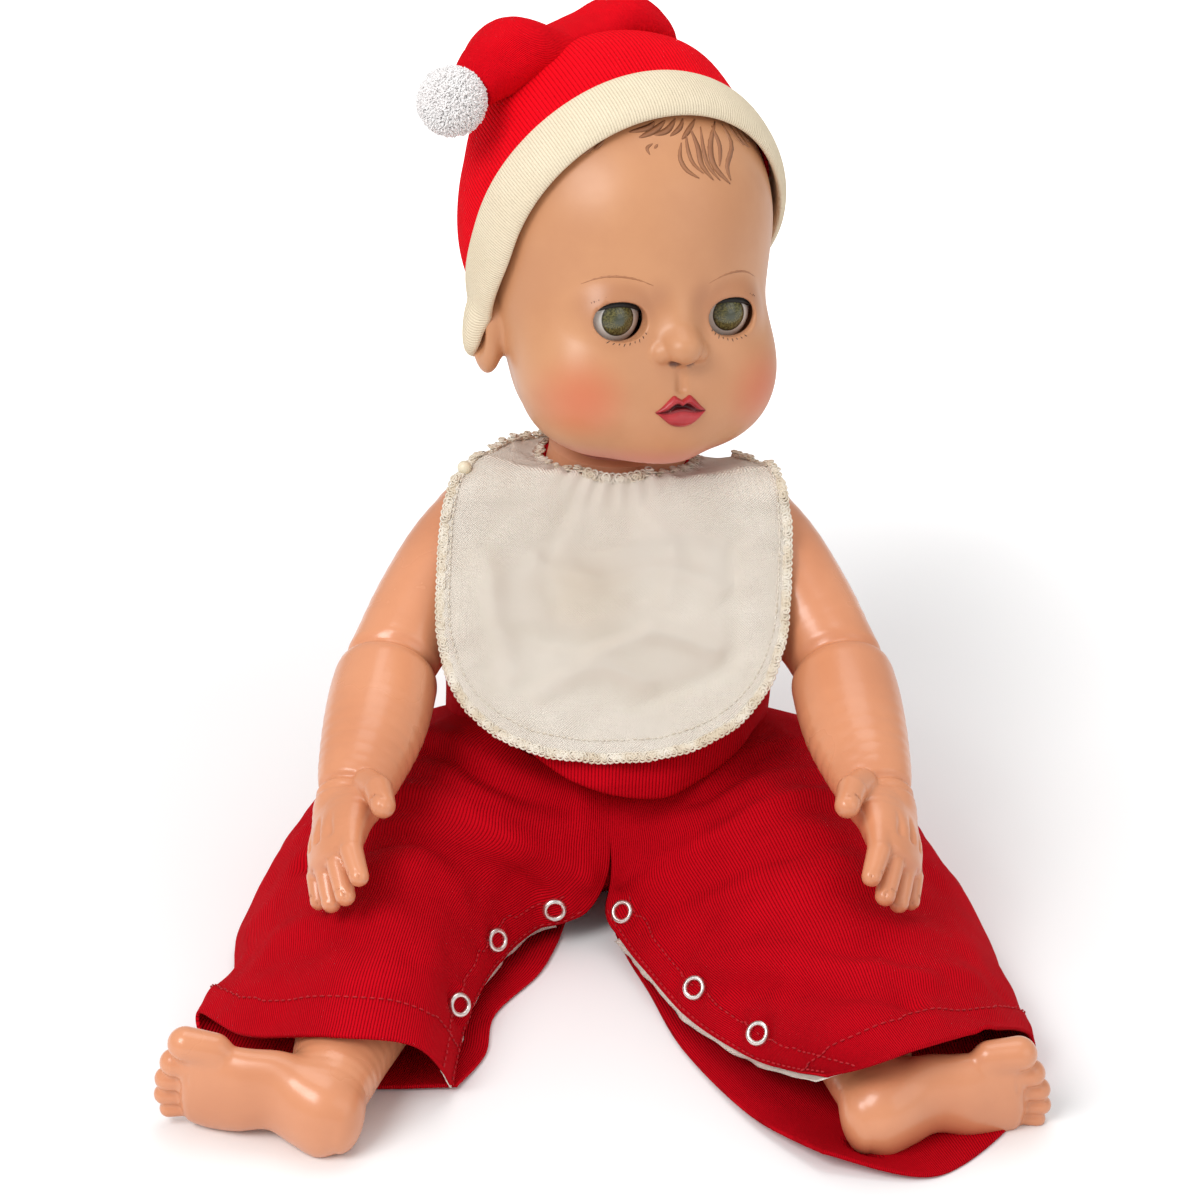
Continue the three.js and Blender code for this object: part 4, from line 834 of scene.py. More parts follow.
def yarn_tree():
    """Cut yarn ends that stand out all over a ball."""
    sizes = {"Long": 0.006, "Bend": 0.0015, "Thick": 0.0005, "Density": 900000.0, "Seed": 5}
    tree, ins, outs = geometry_tree("cut yarn", sizes)
    seed = ins["Seed"]
    inputs = {"Mesh": ins["Geometry"], "Density": ins["Density"], "Seed": seed}
    spread = geo(tree, "DistributePointsOnFaces", inputs).outputs
    shape = strand(tree, ins["Long"], ins["Bend"], ins["Thick"])
    limits = {0: (-0.5, -0.5, -3.14), 1: (0.5, 0.5, 3.14), "Seed": seed}
    tilt = work_out(tree, "RandomValue", limits, data_type="FLOAT_VECTOR").outputs[0]
    twist = work_out(tree, "EulerToRotation", {0: tilt}).outputs[0]
    turns = {0: spread["Rotation"], 1: twist}
    turn = work_out(tree, "RotateRotation", turns, rotation_space="LOCAL").outputs[0]
    inputs = {"Points": spread[0], "Instance": shape, "Rotation": turn, "Scale": varied(tree, seed, 0.75)}
    return filled(tree, ins, outs, inputs)


STITCHES = stitch_tree()
LOOPS = loop_tree()
LASHES = lash_tree()
YARN = yarn_tree()


def grown(base, tree, finish_of, **sizes):
    """A base mesh with a tree's result in its place."""
    modifier = base.modifiers.new("grown", "NODES")
    modifier.node_group = tree
    for item in tree.interface.items_tree:
        if item.in_out == "INPUT" and item.name in sizes:
            modifier[item.identifier] = sizes[item.name]
        if item.in_out == "INPUT" and item.name == "Material":
            modifier[item.identifier] = finish_of
    settle(base)
    base.data.materials.clear()
    base.data.materials.append(finish_of)
    base.data.polygons.foreach_set("material_index", np.zeros(len(base.data.polygons), np.int32))
    base.data.shade_smooth()
    return base


def row(name, points, facing, heading, tree, finish_of, **sizes):
    """A row of small things at points in millimetres."""
    points = np.asarray(points, float)
    mesh = bpy.data.meshes.new(name)
    mesh.from_pydata([tuple(p) for p in points * MM], [], [])
    for key, values in (("facing", facing), ("heading", heading)):
        values = np.broadcast_to(unit(values), points.shape).astype(np.float32)
        mesh.attributes.new(key, "FLOAT_VECTOR", "POINT").data.foreach_set("vector", values.ravel())
    base = bpy.data.objects.new(name, mesh)
    bpy.context.scene.collection.objects.link(base)
    return grown(base, tree, finish_of, **sizes)


# The head and what it wears, in the head's own millimetres

HEAD_AT = np.array(JOINTS["head_turn"]["pos_m"]) / MM
HEAD_UP = unit(JOINTS["head_turn"]["axis"])
HEAD_ACROSS = unit(JOINTS["eyes_sleep"]["axis"])
HEAD_BACK = np.cross(HEAD_UP, HEAD_ACROSS)
HEAD_AXES = np.stack([HEAD_ACROSS, HEAD_BACK, HEAD_UP])


def from_head(p):
    return HEAD_AT + np.asarray(p, float) @ HEAD_AXES


def folded(p):
    """Points with both sides of the head laid on one."""
    return np.abs(p * (1, 0, 0)) + p * (0, 1, 1)


def skull_field(p):
    m = folded(p)
    d = join(egg(p, SKULL), egg(p, JAW), 19.2)
    d = join(d, egg(p, NAPE), 12)
    d = join(d, egg(m, CHEEK), 16)
    d = join(d, egg(p, JOWL), 16)
    return join(d, egg(p, CHIN), 14)


def face_field(p):
    """The head without lips: lids, nose and ears."""
    m = folded(p)
    d = skull_field(p)
    d = carve(d, egg(m, ((12.5, -66.5, 75), (7, 7, 8))), 8)
    d = join(d, egg(m, (EYE, (15.2, 15.2, 14.6))), 6)
    d = join(d, bar(p, (0, -51.5, 75), (0, -57.5, 66), 3, 4.6), 9)
    d = join(d, egg(p, ((0, -61.8, 61.8), (7.6, 7.4, 6.6))), 4)
    d = join(d, egg(m, ((7.9, -57.6, 59.4), (4.2, 5, 4.5))), 1.6)
    d = carve(d, egg(m, ((3.6, -63, 55.6), (2.3, 2.5, 1.5))), 1.0)
    d = join(d, egg(p, ((0, -47, 41), (15, 11.5, 11))), 10)
    return join(d, ear_field(m), 4)


def ear_field(m):
    d = egg(m, EAR)
    d = carve(d, egg(m, ((60.5, 1.5, 57), (3, 5, 9))), 2.5)
    return d


def on_face(x, z, off=0.0):
    """The point of the face in front of a place, stood off along the way out."""
    x, z = np.broadcast_arrays(np.asarray(x, float), np.asarray(z, float))
    low, high = np.full(x.shape, -95.0), np.full(x.shape, 0.0)
    for _ in range(30):
        middle = (low + high) / 2
        inside = face_field(np.stack([x, middle, z], -1).reshape(-1, 3)).reshape(x.shape) < 0
        high = np.where(inside, middle, high)
        low = np.where(inside, low, middle)
    p = np.stack([x, high, z], -1)
    way = unit(slopes(face_field, p.reshape(-1, 3))).reshape(p.shape)
    return p + np.asarray(off, float)[..., None] * way


def head_field(p):
    m = folded(p)
    d = face_field(p)
    d = carve(d, bar(p, (0, -61.3, 52), (0, -61.6, 46), 0.7, 1.2), 3)
    d = carve(d, bar(m, on_face(10.2, 37, 0.4), on_face(12, 36.8, 0.6), 0.7, 0.4), 1.0)
    d = carve(d, egg(p, MOUTH), 0.8)
    socket = egg(m, (EYE, (13.8, 13.8, 13.8)))
    d = carve(d, socket, 0.3)
    u = (m[:, 0] - EYE[0]) / EYE_OPEN[0]
    v = (p[:, 2] - EYE[2] + 0.4) / EYE_OPEN[1]
    almond = (np.sqrt(np.abs(u) ** 2.2 + np.abs(v) ** 2) - 1) * EYE_OPEN[1]
    d = carve(d, np.maximum(almond, p[:, 1] - EYE[1]), 0.9)
    d = np.maximum(d, HEAD_FLOOR - p[:, 2])
    hollow = egg(p, ((0, 2, 88), (47, 50, 52)))
    throat = np.hypot(p[:, 0], p[:, 1]) - NECK_HOLE_R
    throat = np.maximum(throat, p[:, 2] - 60)
    return carve(d, np.minimum(hollow, throat), 1.0)


def make_head():
    points, faces = sculpt(head_field, (-64, -74, 10), (64, 76, 168), 0.95)
    m = folded(points)
    front = ease(-30, -45, points[:, 1])
    # Painted shade in the nostrils
    nostril_shade = 1 - ease(-0.2, 0.8, egg(m, ((3.6, -62.6, 55.6), (2.2, 2.6, 1.7))))
    # Painted shade in the eye sockets, stronger above the eyes, and beside the bridge of the nose
    u, v = m[:, 0] - EYE[0], points[:, 2] - EYE[2]
    ring = np.hypot(u / 15.5, (v - 2.5) / 12.5)
    socket = (1 - ease(0.7, 1.25, ring)) * front * (0.14 + 0.24 * ease(-6, 8, v))
    bridge_shade = (1 - ease(0.1, 1.1, np.hypot((m[:, 0] - 9.5) / 8.5, (points[:, 2] - 80) / 10))) * front
    cheek = np.linalg.norm(points * (0, 0.6, 1) + m * (1, 0, 0) - BLUSH_AT, axis=-1)
    marks = {
        "deep": nostril_shade * 0.8,
        "socket": np.clip(np.maximum(socket, 0.3 * bridge_shade), 0, 1),
        "blush": 0.62 * (1 - ease(2, 21, cheek)),
        "neck": 1 - ease(14, 24, points[:, 2]),
    }
    head = mesh_piece("moulded_head", from_head(points), faces, HEAD_VINYL, marks=marks)
    return place(head, "head", "head_vinyl", "head_shell")


def painted(name, strokes, finish_of, raise_by=0.12):
    """Brush strokes on the face: lists of places (across, up), each with its widest half width."""
    points, faces = [], []
    for keys, wide in strokes:
        share = np.linspace(0, 1, 11)
        line = along(keys, share)
        ahead = unit(np.gradient(line, axis=0))
        half = wide * np.sin(np.pi * np.clip(share, 0.04, 0.97)) ** 0.7
        side = np.stack([-ahead[:, 1], ahead[:, 0]], -1) * half[:, None]
        ring = [
            on_face(*(line + side).T, 0.0),
            on_face(*line.T, raise_by),
            on_face(*(line - side).T, 0.0),
            on_face(*line.T, -0.35),
        ]
        got, quads, _ = loft(np.stack(ring, 1), caps=(True, True))
        faces += [[q + sum(map(len, points)) for q in quads]]
        points.append(got)
    quads = np.concatenate([f[0] for f in faces])
    tris = np.concatenate([f[1] for f in faces])
    return mesh_piece(name, from_head(np.concatenate(points)), [quads, tris], finish_of)


def lip_line(keys, x):
    fine = along(keys, np.linspace(0, 1, 60))
    return np.interp(np.abs(x), fine[:, 0], fine[:, 1])


def make_lips():
    """Lips just parted: a full lower lip, a gap with painted shade and a bowed upper lip."""
    x = np.sin(np.linspace(-1, 1, 101) * math.pi / 2) * LIP_TOP[-1][0]
    lines = [lip_line(keys, x) for keys in (LIP_LOW, PART_LOW, PART_TOP, LIP_TOP)]
    full = 1 - np.abs(x / LIP_TOP[-1][0]) ** 3
    t = np.linspace(0, 1, 15)[:, None]
    lower = 0.12 + 2.1 * full * np.sin(math.pi * t**0.75) ** 0.8 + 0.2 * full * t
    dip = np.maximum(1 - (x / 5.6) ** 2, 0)
    gap = 0.2 + full * (0.2 + 0.9 * t) - 2.6 * dip * np.sin(math.pi * t) ** 0.6
    upper = 0.12 + full * (1.1 * (1 - t) ** 0.7 + 1.1 * np.sin(math.pi * t) ** 0.9)
    up = np.concatenate([a + (b - a) * t for a, b in zip(lines, lines[1:])])
    high = np.concatenate([lower, gap, upper])
    # Painted shade in the gap between the lips and on their inner edges
    shades = (0.7 * ease(0.86, 1, t), np.sin(math.pi * t) ** 0.3, 0.5 * ease(0.14, 0, t))
    dark = np.concatenate([shade + 0 * x for shade in shades])
    across = x + 0 * up
    front = on_face(across, up, high)
    back = on_face(across, up, high.clip(None, 0) - 0.8)
    rings = np.concatenate([front, back[::-1]]).transpose(1, 0, 2)
    marks = np.concatenate([dark, dark[::-1]]).T.ravel()
    marks = {"deep": np.concatenate([marks, [0, 0]])}
    lips = lofted("painted_lips", from_head(rings), LIP_PAINT, marks, caps=(True, True))
    place(lips, "head", "head_vinyl")


def mirrored(keys):
    return [(-x, z) for x, z in keys]


# Painted strands of hair: places across and up, then the half width
HAIR = [
    ([(2.4, 138), (0.6, 133), (2.4, 128.6), (7.4, 125.4)], 1.0),
    ([(5.4, 141), (4.6, 136), (5.6, 131), (9.6, 127)], 0.9),
    ([(7.8, 143), (9.2, 136), (9.4, 130), (13.8, 124.4)], 1.3),
    ([(12.8, 143), (11.6, 136), (12.4, 129.5), (17, 124)], 1.0),
    ([(21, 144), (15.4, 137), (15, 129.5), (21.8, 122.4)], 1.5),
    ([(24.4, 143), (26.6, 136), (21.6, 129), (22.4, 123.6)], 1.3),
    ([(18.4, 143), (19.8, 136), (17.6, 129)], 1.1),
    ([(32.4, 141.6), (33.8, 137), (37.6, 133.2)], 1.0),
    ([(35.4, 140.4), (37, 137), (39, 135)], 0.8),
    ([(28.6, 142.6), (30.4, 138.6), (34, 134.6)], 0.9),
    ([(2.6, 146), (-2, 142.4), (-7.6, 140.8)], 1.1),
    ([(-1.8, 145.6), (-7, 142.4), (-13.6, 139.8)], 1.1),
    ([(-6, 145.2), (-9.6, 143.2), (-16.6, 141.6)], 1.0),
    ([(6, 146), (3.4, 143), (-1.6, 140.4)], 0.9),
    ([(11.4, 145.6), (6.8, 142), (3, 139.2)], 1.0),
    ([(-9.2, 137.8), (-11.6, 136.2), (-11, 134)], 0.6),
    ([(-7.2, 137.6), (-8.8, 136.2)], 0.5),
    ([(-29.4, 136.6), (-33.4, 133.2)], 0.8),
    ([(-25.8, 138.4), (-29.8, 135)], 0.7),
]


def make_face_paint():
    brows = painted("painted_brows", [(BROW, 0.5), (mirrored(BROW), 0.5)], BROW_PAINT, 0.08)
    hair = painted("painted_hair", HAIR, HAIR_PAINT, 0.3)
    lower = []
    for side in (-1, 1):
        for n in range(9):
            turn = math.radians(-150 + 11 * n)
            root = (side * (EYE[0] + 10.6 * math.cos(turn)), EYE[2] - 0.6 + 7.7 * math.sin(turn))
            long = 0.9 + 0.3 * (n % 3)
            tip = (root[0] + side * long * math.cos(turn + 0.5), root[1] + long * math.sin(turn + 0.5))
            lower.append(([root, tip], 0.16))
    lashes = painted("painted_lower_lashes", lower, LASH_FIBRE, 0.06)
    for piece, slot in ((brows, "head_vinyl"), (hair, "head_vinyl"), (lashes, "lash_fibre")):
        place(piece, "head", slot)


def eye_point(side, far, up_angle, across_angle):
    """A point about an eye: angles in degrees from straight ahead."""
    a, b = np.radians(up_angle), np.radians(across_angle)
    way = np.stack(np.broadcast_arrays(np.sin(b), -np.cos(b) * np.cos(a), np.cos(b) * np.sin(a)), -1)
    return np.array([side * EYE[0], EYE[1], EYE[2]]) + far * way


def lid_droop(across):
    """How far the lid's edge falls towards the corners of the eye, in degrees."""
    return -LID_DROOP * (across / LID_HALF) ** 2


def ball_ways(polar, turn):
    """Ways out from the middle of a ball: in a circle of turns at each angle from its axis."""
    wide = np.sin(polar)[:, None]
    return np.broadcast_arrays(wide * np.cos(turn), wide * np.sin(turn), np.cos(polar)[:, None])


def make_eyes():
    for name, side in SIDES.items():
        polar = np.linspace(0.02, math.pi - 0.02, 40)
        turn = np.linspace(0, 2 * math.pi, 56, endpoint=False)
        x, z, ahead = ball_ways(polar, turn)
        bulge = EYE_R + 0.5 * np.exp(-((polar / 0.42) ** 2))[:, None, None]
        points, faces, _ = loft(np.stack([x, -ahead, z], -1) * bulge, caps=(True, True))
        gaze = np.stack([points[:, 0], points[:, 2], points[:, 1]], -1)
        centre = np.array([side * EYE[0], EYE[1], EYE[2]])
        ball = mesh_piece("eye_" + name, from_head(points + centre), faces, EYE_GLASS, marks={"gaze": gaze})
        place(ball, "eyes", "eye_white", "eyeball_" + name, "iris_" + name)

        up = np.linspace(LID_EDGE, LID_BACK, 26)[:, None]
        across = np.linspace(-LID_HALF, LID_HALF, 34)[None, :]
        droop = lid_droop(across) * (up < LID_BACK)
        outer = eye_point(side, 13.3, up + droop, across)
        inner = eye_point(side, 12.62, up + droop, across)
        rings = np.concatenate([outer, inner[:, ::-1]], 1)
        lid = lofted("eyelid_shell_" + name, from_head(rings), LID_VINYL, caps=(True, True))
        place(lid, "eyes", "head_vinyl", "eyelid_" + name)

        across = np.linspace(-38, 42, 64) * side
        droop = lid_droop(across)
        root = eye_point(side, 13.0, LID_EDGE + droop - 0.5, across)
        tip = eye_point(side, 14.0, LID_EDGE + droop + 1.5, across * 1.02)
        facing = (tip - root) @ HEAD_AXES
        heading = np.broadcast_to(HEAD_UP, facing.shape)
        hairs = row(
            "lash_hairs_" + name,
            from_head(root),
            facing,
            heading,
            LASHES,
            LASH_FIBRE,
            Long=0.0034,
            Bend=0.0012,
            Thick=0.00026,
        )
        # A black strip along the lid's edge: the lash line, widened into painted shade under the lid
        strip_up = np.linspace(LID_EDGE - 4, LID_EDGE + 8, 5)[:, None]
        strip_across = np.linspace(-56, 56, 40)[None, :]
        droop = lid_droop(strip_across)
        top = eye_point(side, 13.55, strip_up + droop, strip_across)
        under = eye_point(side, 12.9, strip_up + droop, strip_across)
        rings = np.concatenate([top, under[:, ::-1]], 1)
        strip = lofted("strip", from_head(rings), LASH_FIBRE, caps=(True, True))
        lashes = joined("lash_and_shade_strip_" + name, [strip, hairs])
        place(lashes, "eyes", "lash_fibre", "lashes_" + name)


# Limbs


def section_frame(keys, i, roll=0.0):
    """The way along a limb at a station, with the ways across and up."""
    keys = np.asarray(keys, float)[:, :3]
    way = unit(keys[min(i + 1, len(keys) - 1)] - keys[max(i - 1, 0)])
    return (way,) + rolled(way, roll)


def rolled(way, roll):
    """The ways across and up at a section, turned about the way along by an angle in degrees."""
    across = unit(np.cross(way, (0, 0, 1)))
    lift = np.cross(across, way)
    c, s = math.cos(math.radians(roll)), math.sin(math.radians(roll))
    return c * across - s * lift, c * lift + s * across


def hand_frame():
    return section_frame(ARM, len(ARM) - 2, HAND_ROLL)


def tube_field(p, keys, roll=0.0, roll_from=1e9):
    """A limb through stations with oval sections, rolled from a station to the end."""
    line = along(keys, np.linspace(0, 1, 4 * len(keys) - 3))
    ways = unit(np.gradient(line[:, :3], axis=0))
    d = np.full(len(p), 99.0)
    for n in range(len(line) - 1):
        a, b = line[n], line[n + 1]
        step = b[:3] - a[:3]
        t = np.clip((p - a[:3]) @ step / (step @ step), 0, 1)[:, None]
        off = p - a[:3] - t * step
        across, lift = rolled(ways[n], roll * float(ease(roll_from, roll_from + 2, n / 4)))
        wide, tall = (a[3] + (b[3] - a[3]) * t[:, 0]), (a[4] + (b[4] - a[4]) * t[:, 0])
        u, v, w = off @ across, off @ lift, off @ unit(step)
        oval = np.sqrt((u / wide) ** 2 + (v / tall) ** 2 + (w / np.minimum(wide, tall)) ** 2)
        d = np.minimum(d, (oval - 1) * np.minimum(wide, tall))
    return d


def bent(way, across, lift, spread, curl):
    """A direction in the hand: spread to the side and curled towards the palm, in degrees."""
    s, c = math.radians(spread), math.radians(curl)
    return math.cos(c) * (math.cos(s) * way + math.sin(s) * across) - math.sin(c) * lift


def finger_joints(f, back, curl, bow):
    side, long, r, spread = f
    knuckle = len(ARM) - 2
    way, across, lift = hand_frame()
    a = np.array(ARM[knuckle][:3]) + across * side - way * back
    b = a + long * 0.52 * bent(way, across, lift, spread, 8)
    c = b + long * 0.48 * bent(way, across, lift, spread + bow, curl)
    return a, b, c, r


HAND = [(f, 0, FINGER_CURL, 0) for f in FINGERS] + [(THUMB, THUMB_BACK, 10, 22)]


def groove(d, p, a, b, deep, soft):
    return carve(d, bar(p, a, b, deep, deep), soft)


def ring_crease(d, p, keys, share, deep, wide):
    """A crease all round a limb."""
    at = along(keys, np.array([share]))[0]
    way = unit(along(keys, np.array([share + 0.02]))[0][:3] - at[:3])
    gap = np.abs((p - at[:3]) @ way)
    near = np.linalg.norm(p - at[:3], axis=-1) < at[3] * 1.8
    return d + near * deep * np.exp(-((gap / wide) ** 2))


def arm_field(p):
    d = tube_field(p, ARM, HAND_ROLL, 7.5)
    d = ring_crease(d, p, ARM, 4.35 / 11, 2.6, 2.6)
    d = ring_crease(d, p, ARM, 8.15 / 11, 1.3, 1.1)
    d = ring_crease(d, p, ARM, 8.55 / 11, 0.6, 0.9)
    hand = p[:, 1] < -100
    q = p[hand]
    f = d[hand]
    way, across, lift = hand_frame()
    for spec in HAND:
        a, b, c, r = finger_joints(*spec)
        one = np.minimum(bar(q, a, b, r, r * 0.95), bar(q, b, c, r * 0.98, r * 0.82))
        f = join(f, one, 1.1)
        f = groove(f, q, b + lift * r + across * 4, b + lift * r - across * 4, 0.25, 0.8)
        out = unit(c - b)
        nail_up = unit(lift - out * (lift @ out))
        nail = egg(q, (c + nail_up * r * 0.72 + out * r * 0.15, (r * 0.62, r * 0.62, r * 0.62)))
        rim = np.abs(nail) - 0.16
        f = carve(f, np.maximum(rim, -(q - c) @ nail_up + r * 0.35), 0.35)
    for n in range(3):
        left, right = finger_joints(*HAND[n])[0], finger_joints(*HAND[n + 1])[0]
        gap = (left + right) / 2
        f = carve(f, bar(q, gap + way * 5 + lift * 7, gap - way * 3 + lift * 9.4, 0.9, 0.2), 2.5)
    d[hand] = f
    return np.maximum(d, p[:, 0] + 0.4)


def foot_frame():
    way, _, _ = section_frame(LEG, len(LEG) - 2)
    toe = unit(FOOT_WAY)
    sole = unit(way - toe * (way @ toe))
    lift = np.cross(toe, sole)
    return np.array(LEG[-2][:3]), sole, toe, lift if lift[2] > 0 else -lift


def leg_field(p):
    d = tube_field(p, LEG)
    ankle, sole, toe, lift = foot_frame()
    foot = p[:, 1] < -130
    q = p[foot]
    f = d[foot]
    rel = q - ankle
    s, deep, up = rel @ toe, rel @ sole, rel @ lift
    keys = along(FOOT, np.linspace(0, 1, 40))
    mid, thick, half, high = (np.interp(s, keys[:, 0], keys[:, k]) for k in (1, 2, 3, 4))
    past = np.maximum(np.maximum(keys[0, 0] - s, s - keys[-1, 0]), 0)
    oval = np.sqrt(((deep - mid) / thick) ** 2 + ((up - high) / half) ** 2 + (past / 6.5) ** 2)
    f = join(f, (oval - 1) * np.minimum(thick, half), 6)
    for tip, high, r, root in TOES:
        at = ankle + toe * tip + lift * high + sole * TOE_DEPTH
        base = ankle + toe * root + lift * high * 0.94 + sole * 18
        f = join(f, bar(q, base, at, r * 0.9, r), 0.45 * r)
        fold = ankle + toe * (tip - r - 2.2) + lift * high + sole * (TOE_DEPTH + r)
        f = carve(f, bar(q, fold + lift * r * 0.6, fold - lift * r * 0.6, 0.4, 0.4), 1.4)
        nail = egg(q, (at + toe * r * 0.45 - sole * r * 0.8, (r * 0.55,) * 3))
        f = carve(f, np.maximum(np.abs(nail) - 0.15, (q - at) @ sole + r * 0.3), 0.3)
    arch = ankle + toe * 15 + sole * 27
    f = f + 1.1 * np.exp(-((bar(q, arch + lift * 9, arch - lift * 9, 0, 0) / 7) ** 2))
    d[foot] = f
    hip = JOINTS["hip_right"]["pos_m"][2] / MM
    return np.maximum(np.maximum(d, p[:, 0] + 0.4), 0.05 - p[:, 2] - hip)


def make_limbs():
    forms = {
        "arm": (arm_field, (-98, -196, -96), (4, 26, 26), 0.95, "shoulder"),
        "leg": (leg_field, (-130, -230, -36), (4, 34, 34), 1.0, "hip"),
    }
    for limb, (field, low, high, cell, joint) in forms.items():
        points, faces = sculpt(field, low, high, cell)
        for name, side in SIDES.items():
            at = np.array(JOINTS[joint + "_" + name]["pos_m"]) / MM
            turned = faces if side < 0 else faces[:, ::-1]
            shape = points
            if limb == "leg" and side > 0:
                ankle, _, toe, lift = foot_frame()
                reach = np.maximum((points - ankle) @ toe, 0) * ease(-150, -170, points[:, 1])
                shape = points - lift * LEFT_FOOT_SHEAR * reach[:, None]
                shape[:, 2] = np.maximum(shape[:, 2], 0.05 - at[2])
            made = mesh_piece("moulded_%s_%s" % (limb, name), at + shape * (-side, 1, 1), turned, LIMB_VINYL)
            place(made, limb + "_" + name, "limb_vinyl", limb + "_" + name)


# Body


def spine(z):
    z = np.asarray(z, float)
    return np.stack([z * LEAN_SIDE, z * LEAN_BACK, z], -1)


def make_torso():
    turn = np.linspace(0, 2 * math.pi, 96, endpoint=False)
    rings = []
    for z, half, front, back in along(TORSO, np.linspace(0, 1, 90)):
        deep = np.where(np.sin(turn) > 0, back, front)
        rings.append(spine(z) + np.stack([half * np.cos(turn), deep * np.sin(turn), 0 * turn], -1))
    torso = lofted("moulded_torso", np.array(rings), BODY_VINYL, caps=(True, True))
    place(torso, "torso", "body_vinyl", "torso_front", "torso_back")


# Cap


RIM_WAY = unit((-0.09, math.sin(math.radians(RIM_TILT)), math.cos(math.radians(RIM_TILT))))
CAP_MIDDLE = np.array([0, 6, 88.0])
CAP_ACROSS = unit(np.array([1.0, 0, 0]) - RIM_WAY * RIM_WAY[0])
CAP_UP = np.cross(RIM_WAY, CAP_ACROSS)


def cap_point(turn, tilt, off):
    """On the skull, stood off: turn goes round the rim, tilt is 0 at the back of the head."""
    turn, tilt, off = np.broadcast_arrays(*(np.asarray(v, float) for v in (turn, tilt, off)))
    way = (
        np.sin(tilt)[..., None] * (np.cos(turn)[..., None] * CAP_ACROSS + np.sin(turn)[..., None] * CAP_UP)
        + np.cos(tilt)[..., None] * RIM_WAY
    )
    low, high = np.full(turn.shape, 10.0), np.full(turn.shape, 130.0)
    for _ in range(28):
        middle = (low + high) / 2
        p = (CAP_MIDDLE + middle[..., None] * way).reshape(-1, 3)
        m = folded(p)
        inside = np.minimum(skull_field(p), egg(m, EAR) + 4).reshape(turn.shape) < off
        low = np.where(inside, middle, low)
        high = np.where(inside, high, middle)
    return CAP_MIDDLE + low[..., None] * way


def rim_tilts(turn, past):
    """The tilt at which the cap reaches a distance behind the rim plane."""
    low, high = np.zeros_like(turn), np.full_like(turn, math.pi)
    for _ in range(24):
        middle = (low + high) / 2
        p = cap_point(turn, middle, 3.0)
        behind = (p - np.array(RIM_AT)) @ RIM_WAY > past
        low = np.where(behind, middle, low)
        high = np.where(behind, high, middle)
    return low


def wrapped_map(lengths, around):
    """A map for rows that close: 0 to around across, and by their lengths down."""
    rows, cols = lengths.shape
    uv = np.zeros((rows, cols + 1, 2))
    uv[..., 0] = np.linspace(0, around, cols + 1)
    uv[:, :cols, 1] = lengths
    uv[:, cols, 1] = uv[:, 0, 1]
    return uv


